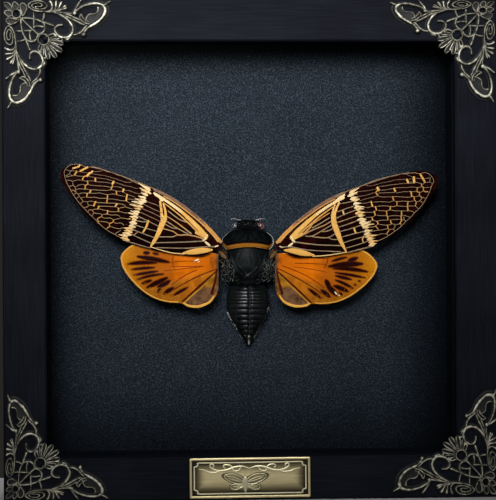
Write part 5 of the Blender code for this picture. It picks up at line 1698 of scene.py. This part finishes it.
# Yellow and cream cross veins and thickened joints of the outer net: tone, width and points
NET_JOINTS = {
    "left": [
        (0.8, 1.0, [(42.7, 3.9), (42.7, 3.1)]),
        (0.8, 1.1, [(47.4, 4.9), (47.4, 4.0)]),
        (0.6, 0.5, [(47.1, 3.4), (47, 1.8)]),
        (0.75, 0.8, [(40.7, 2.7), (40.4, 1.6), (40, 0.5)]),
        (0.6, 0.6, [(44.9, 2.1), (44.3, 1.1)]),
        (0.6, 0.5, [(47.3, -0.6), (46.9, -1.6), (46.3, -3.3)]),
        (0.85, 0.8, [(42.6, -2.1), (42.8, -3.2)]),
        (0.6, 0.6, [(41.4, -3.4), (40.9, -4.4)]),
        (0.65, 0.6, [(44.7, -5.9), (44.3, -7.1)]),
        (0.65, 0.7, [(48.4, -5.9), (48.3, -7.0)]),
        (0.7, 0.8, [(50.3, -4.9), (50.2, -6.5)]),
        (0.5, 0.45, [(41.1, -8), (41.1, -9), (41.5, -9.6), (42, -10.1), (41.5, -10.9),
                     (41.8, -11.6), (42.1, -12.2)]),
        (0.5, 0.45, [(46, -8.3), (45.9, -9), (46.4, -9.6), (46.8, -10.2), (46.9, -10.6),
                     (46.2, -11.1), (46, -11.7)]),
        (0.75, 0.9, [(54.2, 3.1), (53.7, 2.2)]),
        (0.95, 0.6, [(53.8, -1.7), (53.7, -2.8)]),
        (0.6, 0.6, [(54.4, -3.4), (54.1, -4.8)]),
        (0.6, 0.55, [(56.4, 0.9), (56, 0.3), (55.8, -0.1), (56.3, -0.9), (56.2, -1.6),
                     (55.9, -2.3)]),
        (0.8, 1.0, [(56.3, 5), (56.6, 4.2)]),
        (0.8, 1.2, [(57, 3.9), (57.4, 2.6)]),
        (0.6, 0.55, [(57.6, 2.5), (58.2, 2), (58.4, 1.2), (58.3, 0.4)]),
        (0.75, 1.0, [(58.7, 5.6), (59.4, 4.6), (60.2, 3.5), (60.4, 3.1)]),
        (0.95, 0.8, [(61.7, 5.2), (61.6, 4.7), (62, 4.1), (62.7, 3.5), (63.4, 2.9)]),
        (0.5, 0.9, [(61.7, 2.4), (61.8, 0.9)]),
    ],
    "right": [
        (0.95, 1.4, [(44.4, 6.6), (44.4, 5.7)]),
        (0.6, 0.5, [(43.7, 5.6), (43.1, 5.2), (43.1, 4.7), (43.5, 4.0)]),
        (0.75, 0.8, [(50.1, 4.0), (50.2, 2.8)]),
        (0.6, 0.55, [(48.4, 1.3), (48.3, -0.3)]),
        (0.75, 0.8, [(40.1, 2.6), (39.9, 0.9)]),
        (0.65, 0.65, [(40.9, 0.2), (40.7, -1.1)]),
        (0.6, 0.55, [(46.3, -1.8), (45.6, -2.9)]),
        (0.65, 0.65, [(39.7, -1.3), (39.6, -2.7)]),
        (0.6, 0.5, [(44.2, -2.9), (43.7, -4.4), (43.7, -5.2), (43.4, -6.1)]),
        (0.6, 0.6, [(38.1, -3), (38, -4.1)]),
        (0.6, 0.55, [(39.4, -5.2), (39.4, -6.2)]),
        (0.5, 0.45, [(38.2, -6.7), (38.6, -8.1)]),
        (0.5, 0.45, [(42.6, -8), (42.2, -9.1), (42.4, -9.8)]),
        (0.5, 0.4, [(42.6, -9.9), (41.1, -10.9), (41.4, -11.8)]),
        (0.6, 0.5, [(44.3, -6.7), (44.1, -8.1)]),
        (0.5, 0.45, [(48.9, -0.9), (49.2, -1.3), (48.6, -2.4)]),
        (0.6, 0.6, [(49.5, -5.1), (49.1, -6.2), (48.5, -7.3), (48.3, -8), (47.8, -8.8),
                    (47.2, -9.3)]),
        (0.6, 0.6, [(53.2, -2.7), (52.5, -4), (51.9, -5.9)]),
        (0.7, 0.7, [(55.7, 0.4), (55.3, -1.3)]),
        (0.5, 0.45, [(58.6, 0.9), (57.9, -0.4), (58.5, -1), (58.3, -1.7), (58.2, -2.4),
                     (58.7, -3.2), (59, -3.5)]),
        (0.5, 0.5, [(60.6, 1.6), (60.3, 0.7), (60.7, 0), (60.3, -1.2), (61.7, -2.1)]),
        (0.5, 0.45, [(55.5, -1.5), (56.1, -2), (55.7, -2.9), (56, -4.1), (55.1, -5.3)]),
        (0.85, 1.2, [(56, 5.2), (56, 4.1)]),
        (0.85, 1.3, [(58.8, 5.1), (58.2, 3.3)]),
        (0.7, 1.0, [(61.6, 5.2), (61.7, 4), (61.9, 3), (62, 1.8)]),
    ],
}


def forewing_place(side, root_u, root_v, degrees):
    """From forewing outline to insect places."""
    angle = math.radians(degrees)

    def place(s, t, off):
        out = s * math.cos(angle) - t * math.sin(angle)
        up = s * math.sin(angle) + t * math.cos(angle)
        height = 10.7 + 0.9 * (1 - ((t + 2) / 12) ** 2) - 1.2 * (s / FORE_LENGTH) ** 2
        ripple = 0.10 * np.sin(s * 0.55 + 1.1) * np.sin(t * 0.8) + 0.05 * np.sin(s * 1.3 + t * 1.7)
        return on_board(root_u + side * out, root_v + up, height + ripple + off)

    return place


def turned(points, degrees):
    """Plane points turned about the wing's root."""
    rows = np.array(points, float)
    angle = math.radians(degrees)
    a, b = rows[:, 0].copy(), rows[:, 1].copy()
    rows[:, 0] = a * math.cos(angle) - b * math.sin(angle)
    rows[:, 1] = a * math.sin(angle) + b * math.cos(angle)
    return rows


# Width over which a vein is a flat band
WIDE_VEIN = 1.0


def build_forewings(finish):
    """Net-veined forewings: a thin membrane under raised veins and bands."""
    for name, spread in FOREWINGS.items():
        place = forewing_place(*spread)
        turn = NET_TURNS[name]
        piece = Piece()
        net = [turned(line, turn) for line in NET_LINES[name]]
        joints = [(tone, width, turned(line, turn)) for tone, width, line in NET_JOINTS[name]]
        veins = middle_veins(name) + PADS + BASAL_VEINS[name] + NODAL_BANDS[name]
        veins += cream_band(name)
        veins = [(tone, widths, turned(line, turn)) for tone, widths, line in veins]
        veins += edge_stripes()
        lines = net + [line for _, _, line in joints] + [line for _, _, line in veins]
        bare = [np.array(line, float)[:, :2] for line in lines]

        def marks(s, t):
            away = nearest_line(s, t, bare)
            shade = 0.22 + 0.42 * smooth_step(away, 0.1, 0.8)
            shade *= 1 - 0.5 * smooth_step(-t, 0.0, 7.0) * (1 - smooth_step(s, 30, 45))
            return {"shade": shade, "vein": 0.0 * s, "tone": 0.0 * s}

        membrane(piece, FORE_EDGE, HIND_EDGE, *FORE_STEPS, place, marks)
        for line in net:
            tone = np.interp(-line[:, 1].mean(), (-6.0, 3.0), (0.25, 0.4))
            stroke(piece, with_width(line, 0.27), 0.2, place, SLIM, base=VEIN_FOOT, vein=1.0,
                   tone=tone)
        for tone, width, line in joints:
            stroke(piece, with_width(line, 0.15 + 0.6 * width), 0.24, place, base=VEIN_FOOT,
                   vein=1.0, tone=min(tone, 0.78))
        for tone, widths, line in veins:
            wide = max(widths) > WIDE_VEIN
            stroke(piece, with_width(line, *widths), 0.16 if wide else 0.22, place,
                   FLAT if wide else ROUND, base=VEIN_FOOT, vein=1.0, tone=tone)
        piece.finish(f"forewing_{name}_wing", finish.material, "forewing", [f"forewing_{name}"])


# Hindwing outline, from its root: x outwards and y towards the head
LEAD_EDGE = [(0.2, 3.0), (11, 5.4), (20, 7.2), (28, 7.7), (32.4, 6.9), (35, 5.3), (36.9, 3.3),
             (37.4, 1.6)]
TRAIL_EDGE = [(0.3, -1), (0.2, -6.5), (0.5, -11), (2, -14), (4, -16), (8, -17.4), (12, -17),
              (14.5, -15.6), (19, -15.3), (24, -14), (29, -11), (33.5, -6.5), (36.5, -2),
              (37.4, 1.6)]
# Each hindwing: side, root (u, v) and how far its fan is closed in degrees
HINDWINGS = {"left": (-1, -11.06, -4.95, 0.0), "right": (1, 10.08, -5.06, 5.5)}
FAN_LEAD = math.radians(3.0)
FAN_TRAIL = math.radians(-60.0)
FAN_REACH = 0.01

# Black streaks on the spread wing: both ends, greatest width and bow
STREAKS = {
    "left": [
        ((26.5, 3.6), (28.5, 3.6), 1.2, 0.0), ((23.0, 3.0), (25.0, 3.5), 0.8, 0.0),
        ((19.0, 0.0), (30.8, 2.2), 1.6, 0.1), ((23.8, -0.2), (34.5, -0.6), 1.3, 0.3),
        ((24.5, -2.0), (33.2, -2.7), 0.9, 0.1), ((23.3, -3.4), (32.2, -4.8), 0.9, 0.1),
        ((21.2, -4.5), (31.0, -6.5), 0.8, 0.4), ((25.7, -6.8), (29.2, -8.0), 1.0, 0.0),
        ((19.7, -5.9), (27.3, -9.5), 1.6, 0.0), ((18.7, -7.0), (23.2, -9.3), 1.5, -0.2),
        ((22.3, -9.7), (23.3, -11.4), 0.8, 0.0), ((17.3, -9.7), (21.0, -12.0), 1.3, 0.1),
        ((12.0, -9.6), (17.2, -12.5), 0.9, 0.0),
    ],
    "right": [
        ((22.0, 0.2), (27.5, 1.6), 0.8, 0.1), ((28.2, 0.3), (31.7, 1.4), 1.3, 0.0),
        ((20.8, -1.8), (33.5, -0.9), 1.9, 0.2), ((22.5, -2.6), (35.3, -3.9), 1.4, 0.4),
        ((23.3, -4.2), (34.5, -6.2), 0.9, 0.1), ((23.3, -5.4), (29.2, -6.8), 1.1, 0.0),
        ((23.3, -7.0), (29.8, -10.2), 1.0, 0.2), ((22.7, -9.2), (28.0, -11.4), 1.7, 0.1),
        ((19.6, -7.0), (21.0, -10.0), 1.6, 0.0), ((20.0, -9.0), (23.8, -13.0), 2.0, 0.1),
        ((17.8, -10.8), (21.0, -13.5), 1.5, 0.1), ((13.0, -10.3), (17.5, -13.8), 1.1, 0.0),
        ((24.8, -11.6), (25.8, -12.8), 0.7, 0.0), ((32.2, -7.4), (32.6, -7.5), 0.6, 0.0),
        ((30.6, -8.8), (31.0, -8.9), 0.6, 0.0),
    ],
}
# Painted highlights: bright glare patches on the membrane, written like the streaks
GLARES = {"left": [((7.4, 1.2), (9.8, 0.0), 0.9, 0.1), ((7.2, 0.4), (8.2, -0.1), 0.6, 0.0)],
          "right": [((22.8, -11.2), (24.0, -12.8), 0.8, 0.0),
                    ((24.0, -12.6), (25.0, -13.0), 0.8, 0.0)]}
# Shares of the greatest width along a streak
SPINDLE = (0.25, 0.85, 1.0, 0.85, 0.3)

# Fine veins of the spread wing: tone, width, both ends and bow
FAN_VEINS = {
    "left": [
        (0.15, 0.32, (1.0, -2.7), (17.2, -10.4), 0.6), (0.30, 0.26, (8.5, -3.0), (18.0, -8.6), 0.5),
        (0.35, 0.25, (6.0, -1.6), (18.0, -1.7), 0.0), (0.35, 0.22, (7.0, -1.8), (21.0, -3.3), 0.0),
        (0.35, 0.22, (8.5, 0.3), (19.0, -0.1), 0.3), (0.35, 0.25, (17.3, 2.5), (17.0, -2.6), 0.5),
    ],
    "right": [
        (0.15, 0.32, (1.0, -2.4), (17.8, -12.0), 0.5), (0.25, 0.28, (3.0, -1.5), (19.0, -9.8), 0.8),
        (0.35, 0.25, (8.0, -0.5), (19.5, -1.0), 0.1), (0.35, 0.22, (7.5, -1.9), (20.0, -4.0), 0.2),
        (0.35, 0.22, (8.0, 1.8), (19.8, 1.2), 0.1), (0.20, 0.28, (20.4, 1.3), (19.0, -2.3), 0.3),
    ],
}
FAN_WIDER = 1.5
# Veins of the folded inner part: both ends, bow, widths, rise, profile and tone
INNER_VEINS = [
    ((1.0, -3.5), (14.0, -15.0), 0.1, (0.5, 0.8, 0.6), 0.22, ROUND, 0.0),
    ((4.0, -7.4), (13.4, -15.6), 0.1, (0.2, 0.4), 0.18, SLIM, 0.8),
    ((0.8, -2.8), (2.8, -11.9), -0.2, (0.6, 1.1), 0.2, ROUND, 0.0),
    ((1.2, -11.9), (1.6, -13.0), 0.0, (0.8,), 0.3, ROUND, 0.5),
]
CURLS = 44


def opened(rows, closed):
    """Rows drawn on a wing as it is spread, in the axes of the outline."""
    rows = np.array(rows, float)
    seen = np.arctan2(rows[:, 1], rows[:, 0])
    shut = math.radians(closed) / (FAN_LEAD - FAN_TRAIL)
    angle = (seen - shut * FAN_TRAIL) / (1 - shut)
    share = np.clip((angle - FAN_TRAIL) / (FAN_LEAD - FAN_TRAIL), 0.0, 1.0)
    angle = seen + math.radians(closed) * share
    reach = np.hypot(rows[:, 0], rows[:, 1]) / (1 + FAN_REACH * closed * share)
    rows[:, 0], rows[:, 1] = reach * np.cos(angle), reach * np.sin(angle)
    return rows


def spindles(rows, closed):
    """Tapered streaks from their ends, widths and bows."""
    return [opened(bowed(start, end, bow, *[width * part for part in SPINDLE]), closed)
            for start, end, width, bow in rows]


def margin_curls():
    """Short curled veins in the amber margin, one after another along the rear edge."""
    curls = []
    for k in range(CURLS):
        share = 0.50 + 0.46 * (k + RANDOM.uniform(0.1, 0.9)) / CURLS
        x, y = inset(TRAIL_EDGE, RANDOM.uniform(1.3, 3.2), share, share, 1.0)[0, :2]
        turn = RANDOM.uniform(0, 2 * math.pi)
        sweep = RANDOM.uniform(1.8, 3.6)
        radius = RANDOM.uniform(0.35, 0.7)
        angles = turn + np.linspace(0, sweep, 6)
        curls.append(with_width(np.column_stack([x + radius * np.cos(angles),
                                                 y + radius * np.sin(angles)]), 0.14, 0.2, 0.14))
    return curls


def hindwing_place(side, root_u, root_v, closed):
    """From hindwing outline to insect places, closing the fan towards its lobe."""

    def place(x, y, off):
        angle = np.arctan2(y, x)
        reach = np.hypot(x, y)
        share = np.clip((angle - FAN_TRAIL) / (FAN_LEAD - FAN_TRAIL), 0.0, 1.0)
        out_angle = angle - math.radians(closed) * share
        out_reach = reach * (1 + FAN_REACH * closed * share)
        out = out_reach * np.cos(out_angle)
        up = out_reach * np.sin(out_angle)
        height = 9.4 + 0.35 * np.cos(math.pi * (y + 6) / 24) - 0.4 * (x / 37) ** 2
        fold = 0.10 * np.sin(angle * 22) * smooth_step(reach, 4, 14)
        return on_board(root_u + side * out, root_v + up, height + fold + off)

    return place


def build_hindwings(finish):
    """Orange hindwings with black streaks, a pale edge and a dusky inner lobe."""
    for name, spread in HINDWINGS.items():
        place = hindwing_place(*spread)
        piece = Piece()
        closed = spread[3]
        streaks = spindles(STREAKS[name], closed)
        glares = spindles(GLARES[name], closed)

        def marks(x, y):
            places = np.column_stack([x, y])
            streak = np.clip(depth_inside(places, streaks), NO_STREAK, 1.0)
            glare = np.clip(depth_inside(places, glares) + 0.05, 0, 1) * 2
            line = y + 2.7 + (x - 0.6) * 0.915
            lobe = smooth_step(-line, 0.8, 2.2) * smooth_step(-y, 7.0, 12.0)
            lobe = np.maximum(lobe, 0.8 - smooth_step(x, 0.4, 3.0))
            rear = smooth_step(-y - 0.29 * x, -1.0, 4.0)
            olive = np.maximum(smooth_step(-line, 0.2, 0.9), 0.6 * rear)
            return {"streak": streak, "glare": glare, "lobe": lobe, "olive": olive,
                    "reach": np.hypot(x, y) / HIND_REACH, "vein": 0.0 * x, "tone": 0.0 * x}

        membrane(piece, LEAD_EDGE, TRAIL_EDGE, *HIND_STEPS, place, marks)
        skin = {"vein": 1.0, "streak": NO_STREAK, "base": VEIN_FOOT}
        rim = np.vstack([inset(LEAD_EDGE, -0.35, 0.08, 0.98, 0.3, 0.7),
                         inset(TRAIL_EDGE, 0.35, 0.49, 0.985, 0.5, 0.7)[::-1]])
        stroke(piece, rim, 0.2, place, SLIM, tone=0.86, **skin)
        for tone, width, start, end, bow in FAN_VEINS[name]:
            line = opened(bowed(start, end, bow, width * FAN_WIDER), closed)
            stroke(piece, line, 0.12, place, SLIM, tone=tone, **skin)
        for curl in margin_curls():
            stroke(piece, curl, 0.08, place, SLIM, spacing=0.25, tone=0.4, **skin)
        for start, end, bow, widths, rise, profile, tone in INNER_VEINS:
            stroke(piece, bowed(start, end, bow, *widths), rise, place, profile, tone=tone, **skin)
        lobe_edge = inset(TRAIL_EDGE, 0.5, 0.21, 0.455, 0.7, 1.1, 0.8)
        stroke(piece, lobe_edge, 0.2, place, SLIM, tone=0.95, **skin)
        piece.finish(f"hindwing_{name}_wing", finish.material, "hindwing", [f"hindwing_{name}"])


# Stage


FLOOR_DROP = 0.0003
ROOM_COLOUR = (1.0, 0.92, 0.82, 1.0)
ROOM_STRENGTH = 0.02
# Lights: place, aim, size, power, spread in degrees and colour
LIGHTS = {
    "key light": ((-0.08, -0.45, 0.32), (-0.02, 0.0, 0.19), 0.28, 0.44, 45, (0.96, 0.98, 1.0)),
    "fill light": ((0.40, -0.50, 0.30), (0.0, 0.0, 0.10), 0.30, 0.12, 90, (0.94, 0.97, 1.0)),
    "back light": ((0.12, 0.70, 0.22), (0.0, 0.02, 0.09), 0.3, 0.3, 70, (1.0, 0.97, 0.94)),
}
CAMERA_PLACE = (-0.0263, -0.61655, 0.0938)
CAMERA_TURN = (90 - 0.069, 0.28, -2.375)
CAMERA_LENS = 115.97


def area_light(name, place, aim, size, power, spread, colour):
    """A soft disc of light turned towards a place."""
    lamp = bpy.data.lights.new(name, "AREA")
    lamp.shape = "DISK"
    lamp.size = size
    lamp.energy = power
    lamp.spread = math.radians(spread)
    lamp.color = colour
    light = bpy.data.objects.new(name, lamp)
    light.location = place
    light.rotation_euler = (Vector(place) - Vector(aim)).to_track_quat("Z", "Y").to_euler()
    bpy.context.scene.collection.objects.link(light)


def build_stage():
    """Pale floor, soft studio light and the camera at the photo's angle."""
    half, front, back = 0.6, -0.7, 0.05
    data = bpy.data.meshes.new("floor")
    data.from_pydata([(-half, front, 0), (half, front, 0), (half, back, 0), (-half, back, 0)], [],
                     [(0, 1, 2, 3)])
    floor = bpy.data.objects.new("floor", data)
    floor.location.z = -FLOOR_DROP
    pale = Finish("pale floor", roughness=0.8, level=0.2)
    pale.set("Base Color", pale.mix(pale.noise(300.0), (0.62, 0.61, 0.60), (0.70, 0.69, 0.68)))
    data.materials.append(pale.material)
    bpy.context.scene.collection.objects.link(floor)
    floor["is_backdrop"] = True

    world = bpy.data.worlds.new("soft room")
    bpy.context.scene.world = world
    world.use_nodes = True
    room = world.node_tree.nodes["Background"].inputs
    room["Color"].default_value = ROOM_COLOUR
    room["Strength"].default_value = ROOM_STRENGTH

    for name, settings in LIGHTS.items():
        area_light(name, *settings)

    camera = bpy.data.objects.new("camera", bpy.data.cameras.new("camera"))
    camera.location = CAMERA_PLACE
    camera.rotation_euler = [math.radians(turn) for turn in CAMERA_TURN]
    camera.data.lens = CAMERA_LENS
    bpy.context.scene.collection.objects.link(camera)
    bpy.context.scene.camera = camera
    bpy.context.scene.view_settings.view_transform = "Standard"


build_stage()
paint(["rail_top", "rail_bottom"], finish_wood("black wood along", True))
paint(["rail_left", "rail_right"], finish_wood("black wood upright", False))
paint(["glass_pane"], finish_glass())
paint(["spacer_top", "spacer_bottom", "spacer_left", "spacer_right"], finish_lining())
paint(["mount_board"], finish_board())
paint(["back_panel"], finish_fibreboard())
paint(["back_tab_top", "back_tab_bottom", "back_tab_left", "back_tab_right", "sawtooth_hanger"],
      finish_steel())
build_corners(finish_bronze())
build_nameplate(finish_brass())
cuticle = finish_cuticle("matt cuticle", 0.03, 0.003)
build_body(cuticle, finish_cuticle("satin cuticle", 0.085, 0.008),
           finish_cuticle("glossy cuticle", 0.24, 0.002))
build_eyes(finish_eye(False), finish_eye(True))
build_limbs(cuticle, finish_bristle())
build_forewings(finish_forewing())
build_hindwings(finish_hindwing())

{"cad": [list(c) for c in cad_bounds], "scene": [list(c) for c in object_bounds()]}
